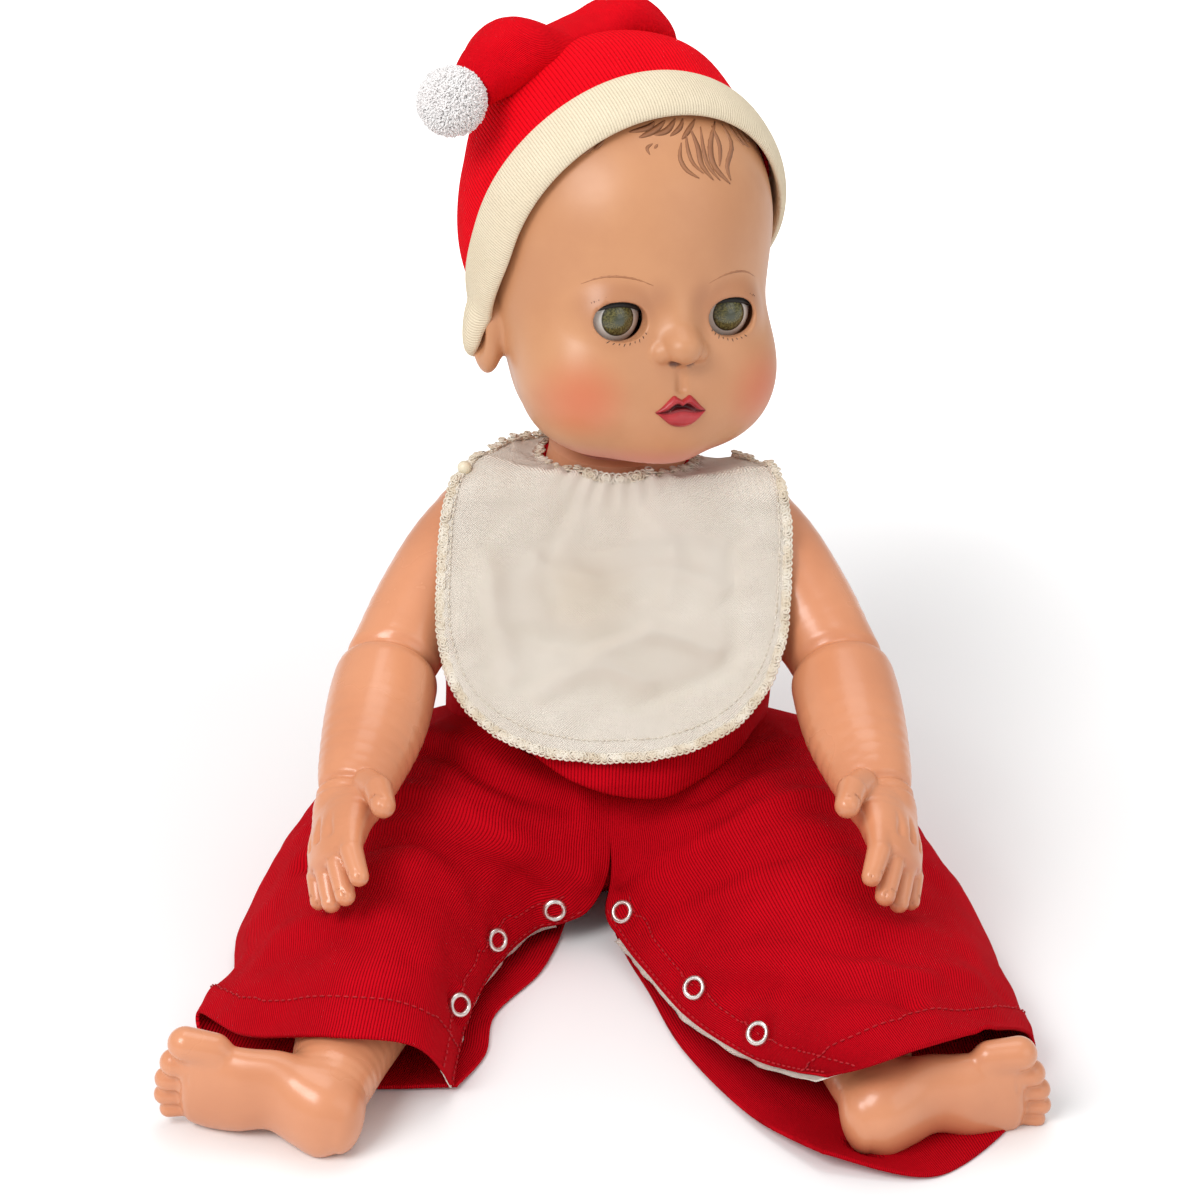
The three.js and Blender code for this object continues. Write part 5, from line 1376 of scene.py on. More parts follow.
def make_cap():
    turn = np.linspace(0, 2 * math.pi, 180, endpoint=False)
    rise = NAPE_RISE * ease(0.4, 0.95, np.sin(turn)) + 6 * ease(-0.3, 0.4, np.sin(turn))
    rise = rise + 7 * ease(-0.7, 0.2, np.sin(turn)) * ease(0.1, 0.7, np.cos(turn))
    edge = rim_tilts(turn, rise)
    inner = rim_tilts(turn, rise + CUFF_WIDE - 5)
    shares = np.linspace(0.02, 1, 60)
    tilt = shares[:, None] * inner[None, :]
    sag = 1.2 * ripple(cap_point(turn[None, :], tilt, 3.4), 26, 4)
    dome = cap_point(turn[None, :], tilt, 3.6)
    out = unit(dome - CAP_MIDDLE)
    stand = 7 * ease(0.55, 0.95, out @ unit((-0.06, 0.22, 1))) * ease(1, 0.7, shares)[:, None]
    dome = dome + out * (sag + stand)[..., None]
    uv = wrapped_map(path_lengths(dome) / CROWN_LOOP, 300)
    crown = lofted("crown", from_head(dome), RED_KNIT, uv=uv, caps=(True, False))
    thicken(crown, 2.2)

    line = along(CAP_TAIL, np.linspace(0, 1, 72))
    around = np.linspace(0, 2 * math.pi, 84, endpoint=False)[:, None]
    rings = []
    for k, (x, y, z, wide, tall) in enumerate(line):
        way = unit(line[min(k + 1, len(line) - 1), :3] - line[max(k - 1, 0), :3])
        across = unit(np.array([0, 1, 0]) - way * way[1])
        lift = np.cross(way, across)
        lift = lift if lift[2] > 0 else -lift
        ring = np.array([x, y, z]) + wide * np.cos(around) * across
        rings.append(ring + tall * np.sin(around) * lift)
    rings = np.array(rings)
    middle = rings.mean(1, keepdims=True)
    out = unit(rings - middle)
    rings = rings + out * (1.3 * ripple(rings, 17, 8) + 0.9 * ripple(rings, 9, 3))[..., None]
    down = path_lengths(line[:, :3])[:, None] / CROWN_LOOP
    uv = wrapped_map(np.broadcast_to(down, rings.shape[:2]), 130)
    tail = lofted("tail", from_head(rings), RED_KNIT, uv=uv, caps=(True, True))
    place(joined("knitted_crown", [crown, tail]), "head", "red_knit", "hat_crown")

    soft = 0.5 * np.sin(3 * turn) + 0.4 * np.sin(7 * turn + 1)
    rows = []
    back_tilt = rim_tilts(turn, rise + CUFF_WIDE)
    for past, off in along(CUFF_PROFILE, np.linspace(0, 1, 44)):
        tilt = edge + (back_tilt - edge) * (past / CUFF_WIDE)
        rows.append(cap_point(turn, tilt, off + 0.35 * soft * (off > 4)))
    rows = np.array(rows)
    uv = wrapped_map(path_lengths(rows) / CUFF_LOOP, 400)
    closed = np.concatenate([rows, rows[:1]])
    uv = np.concatenate([uv, uv[-1:]])
    cuff = lofted("knitted_cuff", from_head(closed), CREAM_KNIT, uv=uv)
    merge(cuff)
    place(cuff, "head", "cream_knit", "hat_cuff")

    ball = bmesh.new()
    bmesh.ops.create_icosphere(ball, subdivisions=3, radius=(POMPOM_R - 1.0) * MM)
    mesh = bpy.data.meshes.new("pompom_core")
    ball.to_mesh(mesh)
    ball.free()
    mesh.transform(Matrix.Translation(Vector(from_head(POMPOM_AT) * MM)))
    core = bpy.data.objects.new("pompom_core", mesh)
    bpy.context.scene.collection.objects.link(core)
    yarn = bpy.data.objects.new("pompom_yarn", mesh.copy())
    bpy.context.scene.collection.objects.link(yarn)
    mesh.materials.append(WHITE_YARN)
    grown(yarn, YARN, WHITE_YARN, Long=0.0017, Bend=0.0010, Thick=0.0008, Density=2600000.0)
    place(joined("yarn_pompom", [core, yarn]), "head", "white_yarn", "hat_pompom")


def merge(piece):
    """The piece with its doubled points joined and its faces turned outwards."""
    work = bmesh.new()
    work.from_mesh(piece.data)
    bmesh.ops.remove_doubles(work, verts=work.verts, dist=1e-6)
    bmesh.ops.recalc_face_normals(work, faces=work.faces)
    work.to_mesh(piece.data)
    work.free()
    piece.data.shade_smooth()
    return piece


# Overalls

OVERALLS_TOP = 126
ARMHOLE_LOW = 98
BELLY_FOLD = 61
POUCH = 16

# How far the overalls stand off the torso: height, at the side, in front, behind
EASE = [
    (0, 16, 20, 20),
    (12, 15, 20, 17),
    (30, 15, 18, 13),
    (50, 15, 19, 12),
    (61, 13, 11, 11),
    (72, 13, 13, 11),
    (90, 14, 8, 9),
    (108, 9, 5.5, 5.5),
    (140, 3.6, 3.6, 3.6),
]
CORD_THICK = 1.5
PLACKET_WIDE = 14
HEM_WIDE = 18
STRAP_X = 24
STRAP_WIDE = 13
LEG_GAP = 2.6
STITCH_PITCH = 3.2

# The rolled top edge of the bodice: height past the edge, distance off the cloth
EDGE_ROLL = [(0.9, 0.6), (0.9, 1.8), (-0.6, 2.6), (-3, 2.4)]

# A row and a column of the trouser grid on top of the thigh
THIGH_TOP = (70, 60)

# Trouser legs as they lie, from the belly to the hem. Each has five places over the leg from the open inseam
# to the outer fold, then three back along the floor to the under layer's own inseam
TROUSERS = {
    "right": [
        [
            (2, -46, 60), (-26, -42, 68), (-48, -18, 72), (-52, 22, 60), (-40, 40, 18),
            (-32, 34, 2), (-26, 4, 2), (-10, -30, 1),
        ],
        [
            (3, -54, 55), (-30, -54, 65), (-60, -34, 71), (-90, 8, 52), (-104, 32, 14),
            (-96, 30, 1), (-58, -8, 1), (-12, -45, 1),
        ],
        [
            (3, -62, 46), (-33, -64, 61), (-66, -50, 67), (-111, -25, 44), (-129, -22, 9),
            (-120, -18, 1), (-70, -30, 1), (-13, -52, 1),
        ],
        [
            (2, -67, 30), (-35, -74, 57), (-70, -66, 66), (-119, -43, 38), (-136, -44, 8),
            (-128, -40, 1), (-75, -45, 1), (-14, -56, 1),
        ],
        [
            (-7, -71, 14), (-38, -82, 50), (-74, -78, 63), (-123, -62, 36), (-142, -62, 8),
            (-133, -60, 1), (-80, -65, 1), (-15, -60, 1),
        ],
        [
            (-25, -76, 10), (-48, -90, 49), (-78, -89, 61), (-125, -76, 34), (-144, -74, 8),
            (-135, -72, 1), (-83, -80, 1), (-18, -74, 1),
        ],
        [
            (-39, -98, 10), (-56, -103, 48), (-82, -105, 59), (-126, -92, 33), (-144, -86, 8),
            (-135, -84, 1), (-86, -96, 1), (-25, -95, 1),
        ],
        [
            (-49, -128, 10), (-61, -131, 45), (-88, -131, 55), (-127, -116, 32), (-143, -104, 9),
            (-137, -108, 1), (-92, -122, 1), (-41, -122, 1),
        ],
        [
            (-53, -152, 9), (-65, -162, 40), (-95, -163, 47), (-130, -144, 30), (-150, -122, 12),
            (-143, -130, 1), (-96, -150, 1), (-44, -148, 1),
        ],
        [
            (-55, -174, 6), (-68, -187, 33), (-99, -188, 38), (-132, -168, 24), (-153, -136, 12),
            (-146, -146, 1), (-100, -168, 1), (-54, -170, 2),
        ],
    ],
    "left": [
        [
            (2, -46, 60), (29, -42, 63), (50, -18, 67), (55, 22, 58), (42, 40, 18),
            (34, 34, 2), (28, 4, 2), (10, -30, 1),
        ],
        [
            (3, -54, 55), (33, -54, 61), (62, -34, 67), (93, 8, 52), (107, 32, 14),
            (98, 30, 1), (58, -8, 1), (10, -45, 1),
        ],
        [
            (3, -62, 46), (37, -64, 58), (69, -50, 65), (113, -25, 44), (131, -20, 10),
            (123, -18, 1), (70, -30, 1), (9, -52, 1),
        ],
        [
            (4, -67, 30), (40, -74, 54), (74, -67, 63), (119, -45, 44), (138, -40, 11),
            (130, -38, 1), (75, -48, 1), (7, -58, 1),
        ],
        [
            (2, -71, 14), (42, -84, 50), (79, -82, 63), (125, -67, 42), (144, -60, 12),
            (135, -58, 1), (80, -70, 1), (5, -64, 1),
        ],
        [
            (9, -88, 10), (46, -98, 48), (84, -96, 61), (130, -82, 40), (148, -73, 12),
            (139, -72, 1), (84, -88, 1), (10, -84, 1),
        ],
        [
            (18, -107, 9.5), (50, -116, 46), (88, -112, 59), (133, -98, 38), (151, -86, 13),
            (142, -86, 1), (88, -106, 1), (18, -107, 1),
        ],
        [
            (34, -139, 10), (62, -148, 44), (96, -144, 54), (138, -127, 37), (155, -112, 13),
            (146, -113, 1), (96, -142, 1), (31, -146, 1),
        ],
        [
            (59, -174, 16), (78, -183, 42), (104, -179, 50), (142, -158, 36), (158, -138, 13),
            (150, -146, 1), (104, -184, 1), (55, -190, 3),
        ],
        [
            (80, -207, 34), (94, -213, 43), (114, -209, 48), (143, -186, 40), (160, -161, 16),
            (155, -184, 1), (120, -222, 1), (79, -218, 8),
        ],
    ],
}

# Soft folds over the legs: places, height of the ridge, width
FOLDS = {
    "right": [
        ([(-4, -70, 30), (-20, -78, 44), (-45, -76, 56), (-75, -60, 62), (-100, -44, 50)], 5.5, 6.5),
        ([(-14, -58, 56), (-40, -56, 66), (-70, -34, 68), (-98, -14, 48)], -6, 6),
        ([(-24, -80, 28), (-48, -92, 52), (-80, -88, 62), (-114, -78, 42)], -5, 6),
        ([(-46, -102, 26), (-76, -108, 59), (-116, -100, 38)], 2.2, 8),
        ([(-52, -146, 20), (-86, -150, 51), (-126, -134, 30)], -2.2, 8),
        ([(-50, -120, 20), (-80, -132, 54), (-122, -118, 34)], 1.8, 7),
    ],
    "left": [
        ([(8, -70, 30), (24, -78, 44), (50, -78, 56), (80, -62, 60), (104, -48, 50)], 5.5, 6.5),
        ([(16, -58, 54), (42, -56, 62), (72, -34, 64), (102, -14, 48)], -6, 6),
        ([(45, -140, 26), (66, -162, 42), (90, -178, 47), (112, -182, 47)], -4.5, 5),
        ([(42, -128, 28), (66, -146, 45), (92, -164, 51), (120, -164, 46)], 3.2, 6),
        ([(22, -84, 16), (60, -98, 58), (114, -86, 46)], -3.8, 7),
        ([(40, -122, 26), (78, -118, 59), (120, -104, 44)], 2.2, 8),
        ([(52, -152, 20), (90, -152, 52), (134, -136, 38)], -2.2, 8),
        ([(60, -176, 24), (98, -168, 52), (138, -152, 40)], 1.8, 7),
    ],
}


def nearest_to(points, keys):
    """The distance of each point from a smooth curve."""
    line = along(keys, np.linspace(0, 1, 25))
    flat = points.reshape(-1, 3)
    far = np.full(len(flat), 1e9)
    for a, b in zip(line, line[1:]):
        far = np.minimum(far, bar(flat, a, b, 0, 0))
    return far.reshape(points.shape[:-1])


def grid_normals(grid):
    return unit(np.cross(np.gradient(grid, axis=1), np.gradient(grid, axis=0)))


def between(table, z, k):
    table = np.asarray(table, float)
    return np.interp(z, table[:, 0], table[:, k])


def overalls_skin(z, turn, off=0.0):
    """The overalls round the body: the belly hangs over a deep fold in front."""
    half, front, back = (between(TORSO, z, k) + between(EASE, z, k) + off for k in (1, 2, 3))
    facing = ease(-0.05, 0.6, -np.sin(turn))
    slant = z - BELLY_FOLD - 30 * np.abs((np.cos(turn) - 0.33) / 1.2) ** 1.5
    front = front + facing * (POUCH * ease(48, 8, slant) * ease(-6, 3, slant) - 8 * ease(0, -10, slant))
    deep = np.where(np.sin(turn) > 0, back, front)
    return spine(z) + np.stack(np.broadcast_arrays(half * np.cos(turn), deep * np.sin(turn), 0 * z), -1)


def make_overalls_body():
    cols, rows = 200, 84
    turn = np.linspace(0, 2 * math.pi, cols, endpoint=False)[None, :]
    top = OVERALLS_TOP - (OVERALLS_TOP - ARMHOLE_LOW) * ease(0.5, 0.95, np.abs(np.cos(turn)))
    share = np.linspace(0, 1, rows)[:, None]
    z = 1.5 + (top - 1.5) * share
    grid = overalls_skin(z, turn)
    roll = [overalls_skin(top + past, turn, off) for past, off in EDGE_ROLL]
    grid = np.concatenate([grid] + roll)
    lean = np.concatenate([share, np.ones((len(roll), 1))])
    out = unit(grid - spine(grid[..., 2]))
    wave = 1.3 * ripple(grid * (1, 1, 0.6), 19, 2) + 0.7 * ripple(grid, 9, 6)
    grid = grid + out * (wave * ease(0.02, 0.12, lean) * (1.15 - lean))[..., None]
    uv = wrapped_map(path_lengths(grid), 2 * math.pi * 62)
    body = lofted("overalls_bodice", grid, RED_CORD, uv=uv, caps=(True, False))
    thicken(body, CORD_THICK)
    place(body, "torso", "red_corduroy", "overalls_body")


def leg_sheet(name, side):
    """The grid of a trouser leg with its folds, and its distances across and along."""
    rows, cols = 160, 168
    grid = net_surface(TROUSERS[name], rows, cols)
    across = path_lengths(grid.transpose(1, 0, 2)).T
    down = path_lengths(grid)
    over = ease(4, 14, grid[..., 2])
    normal = grid_normals(grid)
    if (normal * (grid - grid.mean((0, 1)))).sum(-1).mean() < 0:
        normal = -normal
    lift = 1.6 * ripple(grid, 23, 3 + side) + 0.8 * ripple(grid, 10, 7 + side)
    for keys, high, wide in FOLDS[name]:
        far = nearest_to(grid, keys)
        ridge = np.exp(-((far / wide) ** 2))
        dips = np.exp(-((far / (2.2 * wide)) ** 2))
        lift = lift + high * (ridge - 0.35 * dips)
    left = down[-1:] - down
    flat_edge = ease(0, 10, across) * ease(0, 8, left)
    lift = lift * (0.25 + 0.75 * flat_edge) * ease(0, 25, down)
    placket = 1 - ease(PLACKET_WIDE - 1, PLACKET_WIDE + 1, across)
    hem = 1 - ease(HEM_WIDE - 1, HEM_WIDE + 1, left)
    lift = lift + 0.7 * np.maximum(placket, hem) * ease(0, 25, down)
    grid = grid + normal * (lift * over)[..., None]
    hip = np.array(JOINTS["hip_" + name]["pos_m"]) / MM
    for _ in range(3):
        flat = grid.reshape(-1, 3)
        local = (flat - hip) * (-side, 1, 1)
        d = leg_field(local)
        near = (d < LEG_GAP) & (flat[:, 2] > 2.5)
        push = slopes(leg_field, local[near]) * (-side, 1, 1)
        moved = flat.copy()
        moved[near] += unit(push) * (LEG_GAP - d[near])[:, None]
        grid = moved.reshape(grid.shape)
    grid[..., 2] = np.maximum(grid[..., 2], 0.6)
    return grid, across, left


def bend_with_leg(piece, name, side, slot, *nodes):
    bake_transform(piece)
    if nodes:
        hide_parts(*nodes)
    return piece


def turned_rings(keys, count, at, out, near):
    """Rings of a turned form: keys are its radius and its height along the way out."""
    turn = np.linspace(0, 2 * math.pi, 40, endpoint=False)[:, None]
    first = unit(np.cross(out, near))
    ring = np.cos(turn) * first + np.sin(turn) * np.cross(out, first)
    fine = along(keys, np.linspace(0, 1, count))[1:]
    return at + fine[:, :1, None] * ring + fine[:, 1:, None] * out


def snap_ring(name, at, out):
    """A pressed steel ring with a hollow middle."""
    rings = turned_rings(SNAP_PROFILE + SNAP_PROFILE[:1], 33, at, out, (0.3, 0.2, 0.9))
    return merge(lofted(name, np.concatenate([rings, rings[:1]]), SNAP_STEEL))


# The section of a snap: radius, height
SNAP_PROFILE = [
    (2.9, -0.6),
    (2.85, 0.5),
    (3.1, 1.2),
    (3.7, 1.5),
    (4.3, 1.25),
    (4.7, 0.7),
    (4.75, -0.6),
    (3.8, -0.8),
]

# Snaps on each leg: the place that each lies nearest to
SNAPS = {
    "crotch_snap_right": (-21, -66, 20),
    "leg_snap_right_1": (-46, -97, 19),
    "leg_snap_right_2": (-59, -140, 17),
    "crotch_snap_left": (10, -76, 18),
    "leg_snap_left_1": (37, -130, 19),
    "leg_snap_left_2": (60, -167, 24),
}


def row_at(grid, values, level):
    """For each column, the point where values reach a level down the rows."""
    picked = np.argmin(np.abs(values - level), axis=0)
    return picked, grid[picked, np.arange(grid.shape[1])]


def picked_from(values, lengths, places):
    """Values along a line at places between its points."""
    return np.stack([np.interp(places, lengths, values[:, k]) for k in range(3)], -1)


def stitch_line(name, line, normal, pitch, finish_of, long=0.0024, off=0.35, part=None):
    """Stitches at a pitch along a line of points, or only those on one part of the bib."""
    lengths = path_lengths(line)
    places = np.arange(pitch / 2, lengths[-1], pitch)
    at = picked_from(line, lengths, places)
    out = unit(picked_from(normal, lengths, places))
    ahead = unit(np.gradient(at, axis=0))
    if part is not None:
        mine = zone(at[:, 0]) == part
        at, out, ahead = at[mine], out[mine], ahead[mine]
    return row(name, at + out * off, out, ahead, STITCHES, finish_of, Long=long, Thick=0.0007)


def make_trousers():
    for name, side in SIDES.items():
        grid, across, left = leg_sheet(name, side)
        normal = grid_normals(grid)
        middle = grid[THIGH_TOP]
        inside = np.array(JOINTS["hip_" + name]["pos_m"]) / MM + np.array((side * 30, -70, -10))
        if normal[THIGH_TOP] @ (middle - inside) < 0:
            normal = -normal
        uv = np.stack([across[80][None, :] + 0 * left, left], -1)
        snaps = []
        for key in ("crotch_snap_" + name, "leg_snap_%s_1" % name, "leg_snap_%s_2" % name):
            far = np.linalg.norm(grid[:, :60] - np.array(SNAPS[key]), axis=-1)
            r, c = np.unravel_index(np.argmin(far), far.shape)
            at = grid[r, c].copy()
            out = unit(normal[r, c] + np.array((0, -0.75, 0.45)))
            near = ease(11, 5.5, np.linalg.norm(grid - at, axis=-1)) * (normal @ normal[r, c] > 0.2)
            grid = grid - out * (near * ((grid - at) @ out))[..., None]
            snaps.append((key, at, out))
        sheet = lofted("trouser_leg_" + name, grid, RED_CORD, around=False, uv=uv)
        faces_out(sheet, middle, normal[THIGH_TOP])
        thicken(sheet, CORD_THICK)
        bend_with_leg(sheet, name, side, "red_corduroy", "overalls_leg_" + name)

        rows = grid.shape[0]
        seams = []
        inner = np.argmin(np.abs(across - PLACKET_WIDE), axis=1)
        edge = np.argmin(np.abs(across - 2.2), axis=1)
        low = slice(int(rows * 0.44), rows - 1)
        for columns in (inner, edge):
            line = grid[np.arange(rows), columns][low]
            out = normal[np.arange(rows), columns][low]
            seams.append(stitch_line("stitches", line, out, STITCH_PITCH, SEWING_THREAD))
        picked, line = row_at(grid, left, HEM_WIDE - 1)
        over = slice(0, 100)
        out = normal[picked, np.arange(len(picked))]
        seams.append(stitch_line("stitches", line[over], out[over], STITCH_PITCH, SEWING_THREAD))
        stitches = joined("leg_stitches_" + name, seams)
        bend_with_leg(stitches, name, side, "red_corduroy")

        for key, at, out in snaps:
            ring = snap_ring("ring_" + key, at + out * 0.3, out)
            place(ring, "torso" if key.startswith("crotch") else "leg_" + name, "snap_steel", key)

        r = np.arange(int(rows * 0.52), rows - 2)
        width = np.linspace(-3.4, 9, 9)
        strip = []
        for k in width:
            c = np.argmin(np.abs(across[r] - max(k, 0)), axis=1)
            inward = unit(grid[r, np.minimum(c + 4, grid.shape[1] - 1)] - grid[r, c])
            wave = 0.9 * np.sin(r * 0.35) + 0.5 * np.sin(r * 0.83)
            beyond = np.minimum(k, 0) + np.where(k < 0, 0.5 * wave, 0)
            strip.append(grid[r, c] - normal[r, c] * 2.1 + inward * np.asarray(beyond)[..., None])
        strip = np.stack(strip, 1)
        uv = np.stack(np.broadcast_arrays(width[None, :], r[:, None] * 1.4), -1)
        out = normal[r, 2].mean(0)
        facing = lofted("white_facing_" + name, strip, WHITE_COTTON, around=False, uv=uv, facing=out)
        thicken(facing, 0.7)
        bend_with_leg(facing, name, side, "white_cotton", "inseam_facing_" + name)


def faces_out(piece, at, way):
    """The faces of an open sheet, turned so that the one nearest a point looks along a way."""
    mesh = piece.data
    centres = np.empty(3 * len(mesh.polygons), np.float32)
    mesh.polygons.foreach_get("center", centres)
    near = int(np.argmin(np.linalg.norm(centres.reshape(-1, 3) - np.asarray(at) * MM, axis=1)))
    if np.dot(mesh.polygons[near].normal, way) < 0:
        mesh.flip_normals()


def make_straps():
    for name, side in SIDES.items():
        shares = np.linspace(0, 1, 60)
        wide = np.linspace(-0.5, 0.5, 13) * STRAP_WIDE
        rows = []
        for share in shares:
            x = side * STRAP_X + wide
            heights = np.linspace(138, 161, 90)
            half = between(TORSO, heights, 1)
            peak = np.interp(np.abs(x), half[::-1], heights[::-1])
            z = OVERALLS_TOP - 10 + (peak - OVERALLS_TOP + 10) * np.sin(math.pi * share)
            left = np.sqrt(np.maximum(1 - (x / between(TORSO, z, 1)) ** 2, 0))
            deep = between(TORSO, z, 3 if share > 0.5 else 2) * left * (1 if share > 0.5 else -1)
            at = spine(z) + np.stack([x, deep, 0 * x], -1)
            out = unit(np.stack([x / 40, deep / 36, np.maximum(z - 132, 0) / 26], -1))
            rows.append(at + out * (3.4 + 3.2 * ease(0.4, 0.0, math.sin(math.pi * share))))
        grid = np.array(rows)
        uv = np.stack(np.broadcast_arrays(wide[None, :], 100 * shares[:, None]), -1)
        strap = lofted("shoulder_strap_" + name, grid, RED_CORD, around=False, uv=uv, facing=(0, 0, 1))
        thicken(strap, CORD_THICK)
        place(strap, "torso", "red_corduroy", "overalls_strap_" + name)
        low, high = (np.array(corner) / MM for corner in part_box("strap_button_" + name))
        middle = (low + high) / 2
        out = unit(middle - spine(middle[2]))
        place(button("button_" + name, middle, out), "torso", "button_plastic", "strap_button_" + name)


def button(name, at, out):
    """A turned button with a raised rim."""
    keys = [(0, 0.5), (2.6, 0.5), (3.4, 0.9), (4.2, 1.1), (4.9, 0.7), (5, 0), (4.8, -0.7)]
    rings = turned_rings(keys, 25, at, out, (0, 0, 1))
    return lofted(name, rings, BUTTON_PLASTIC, caps=(True, True), facing=out)


# Bib

BIB_HALF = 67
BIB_LONG = 140
BIB_NECK_R = 33
BIB_END = (-132, 88)
BIB_SWEEP = 1.4
BIB_FOLD = 36
BIB_KEEP = 0.24
BIB_THICK = 0.9
HEAD_TURNS = np.arange(-40, 91, 10)
HEM_SHARE = 0.935
NECK_Z = 171
NECK_RISE = 3
BEAD_R = 2.8

# Soft creases of the bib: places across and down, height of the ridge, width
BIB_CREASES = [
    ([(-30, 62), (-8, 70), (20, 66), (44, 72)], 2.72, 3.4),
    ([(-44, 88), (-18, 96), (8, 92)], -3.06, 3.825),
    ([(-6, 100), (16, 92), (40, 98)], 3.4, 3.4),
    ([(-28, 116), (-6, 106), (14, 112)], 3.74, 3.825),
    ([(10, 120), (30, 112), (46, 104)], -3.06, 3.825),
    ([(-50, 60), (-46, 84), (-38, 108)], 2.72, 4.25),
    ([(48, 52), (46, 76), (50, 96)], -2.72, 4.25),
    ([(-20, 44), (-26, 64), (-22, 84)], -2.38, 4.25),
    ([(14, 46), (24, 60), (22, 80)], 2.38, 4.25),
]
PICOT = 2.5

# Rows of the lace: distance past the edge, radius and thread of a loop, then shift and pitch in picots
LACE_ROWS = [
    (0.6, 1.2, 0.4, 0, 0.55),
    (2.0, 1.3, 0.42, 0.5, 1),
    (1.3, 1.0, 0.4, 0.25, 0.55),
]


def bib_edge(turn):
    """The distance of the bib's edge from the neck, in a circle from straight down."""
    past = np.maximum(np.abs(turn) - BIB_SWEEP, 0)
    turn = np.clip(turn, -BIB_SWEEP, BIB_SWEEP)
    low, high = np.full_like(turn, BIB_NECK_R), np.full_like(turn, BIB_LONG + 10.0)
    for _ in range(30):
        middle = (low + high) / 2
        wide = np.abs(middle * np.sin(turn)) / BIB_HALF
        down = (middle * np.cos(turn) - BIB_LONG / 2 - 1) / (BIB_LONG / 2)
        power = np.where(down < 0, 3.6, 2.5)
        inside = wide**power + np.abs(down) ** power < 1
        low = np.where(inside, middle, low)
        high = np.where(inside, high, middle)
    return low * np.maximum(1 - 0.5 * past, 0.6)


def chest_line():
    """The way from the neck down the chest and over the belly, in depth and height."""
    z = np.arange(NECK_Z, 40, -2.0)
    bare = z * LEAN_BACK - along_smooth(z, 2) - 3.2
    worn = overalls_skin(z, 0 * z - math.pi / 2, 5.0)[:, 1]
    y = np.minimum.accumulate(np.where(z < OVERALLS_TOP + 8, np.minimum(bare, worn), bare))
    level = np.arange(0, BIB_NECK_R, 2.0)
    start = np.stack([NECK_Z * LEAN_BACK - level, NECK_Z + 3 - 3 * level / BIB_NECK_R], -1)
    line = np.concatenate([start, np.stack([y, z], -1)])
    padded = np.concatenate([line[:1]] * 5 + [line] + [line[-1:]] * 5)
    return np.stack([padded[k : k + len(line)] for k in range(11)]).mean(0)


def along_smooth(z, k):
    """A measure of the torso at heights, without corners between its stations."""
    spread = np.linspace(-8, 8, 9)
    return np.mean([between(TORSO, z + s, k) for s in spread], axis=0)


def bib_point(across, down):
    """A point of the bib cloth: level from the neck, then down the chest, and over the arms at the sides."""
    chest = chest_line()
    run = path_lengths(chest)
    y, z = np.interp(down, run, chest[:, 0]), np.interp(down, run, chest[:, 1])
    low = ease(20, 75, down)
    wide = np.abs(across) / BIB_HALF
    y = y - 3 * low * wide**2
    far = np.hypot(across, down)
    y = y + np.maximum(-down, 0)
    z = z - (1 - low) * np.maximum(np.abs(across) - 30, 0) * 0.16 + NECK_RISE * ease(58, 27, far)
    y = y - 1.6 * low * wide * np.sin(0.14 * across) * np.sin(0.05 * down)
    return np.stack([z * LEAN_SIDE + across, y, z], -1)


def clear_of_arms(grid, gap):
    """The cloth brought forward where an arm would stand in it."""
    flat = grid.reshape(-1, 3).copy()
    for _ in range(14):
        for name, side in SIDES.items():
            at = np.array(JOINTS["shoulder_" + name]["pos_m"]) / MM
            local = (flat - at) * (-side, 1, 1)
            d = tube_field(local, ARM[:8])
            flat[:, 1] -= np.clip(gap - d, 0, 1.6) * (local[:, 0] < 10)
    return flat.reshape(grid.shape)


def clear_of_head(grid, gap):
    """The cloth brought down out of the way of the turning head."""
    flat = grid.reshape(-1, 3).copy()
    high = flat[:, 2] > 135
    for _ in range(10):
        worn = flat[high]
        past = np.maximum(np.abs(worn[:, :1]) - BIB_FOLD, 0)
        crumpled = worn - np.sign(worn[:, :1]) * past * (1 - BIB_KEEP) * (1, 0, 0)
        short = np.zeros(len(worn))
        for angle in np.radians(HEAD_TURNS):
            c, n = math.cos(angle), math.sin(angle)
            for cloth in (worn, crumpled):
                turned = (cloth - HEAD_AT) @ HEAD_AXES.T @ np.array([[c, n, 0], [-n, c, 0], [0, 0, 1]])
                short = np.maximum(short, gap - skull_field(turned))
        flat[high, 2] -= np.clip(short, 0, 2)
    return flat.reshape(grid.shape)


def zone(x):
    """Which part of the bib a place belongs to: the right side, the middle or the left side."""
    return np.where(x < -BIB_FOLD, -1, np.where(x > BIB_FOLD, 1, 0))


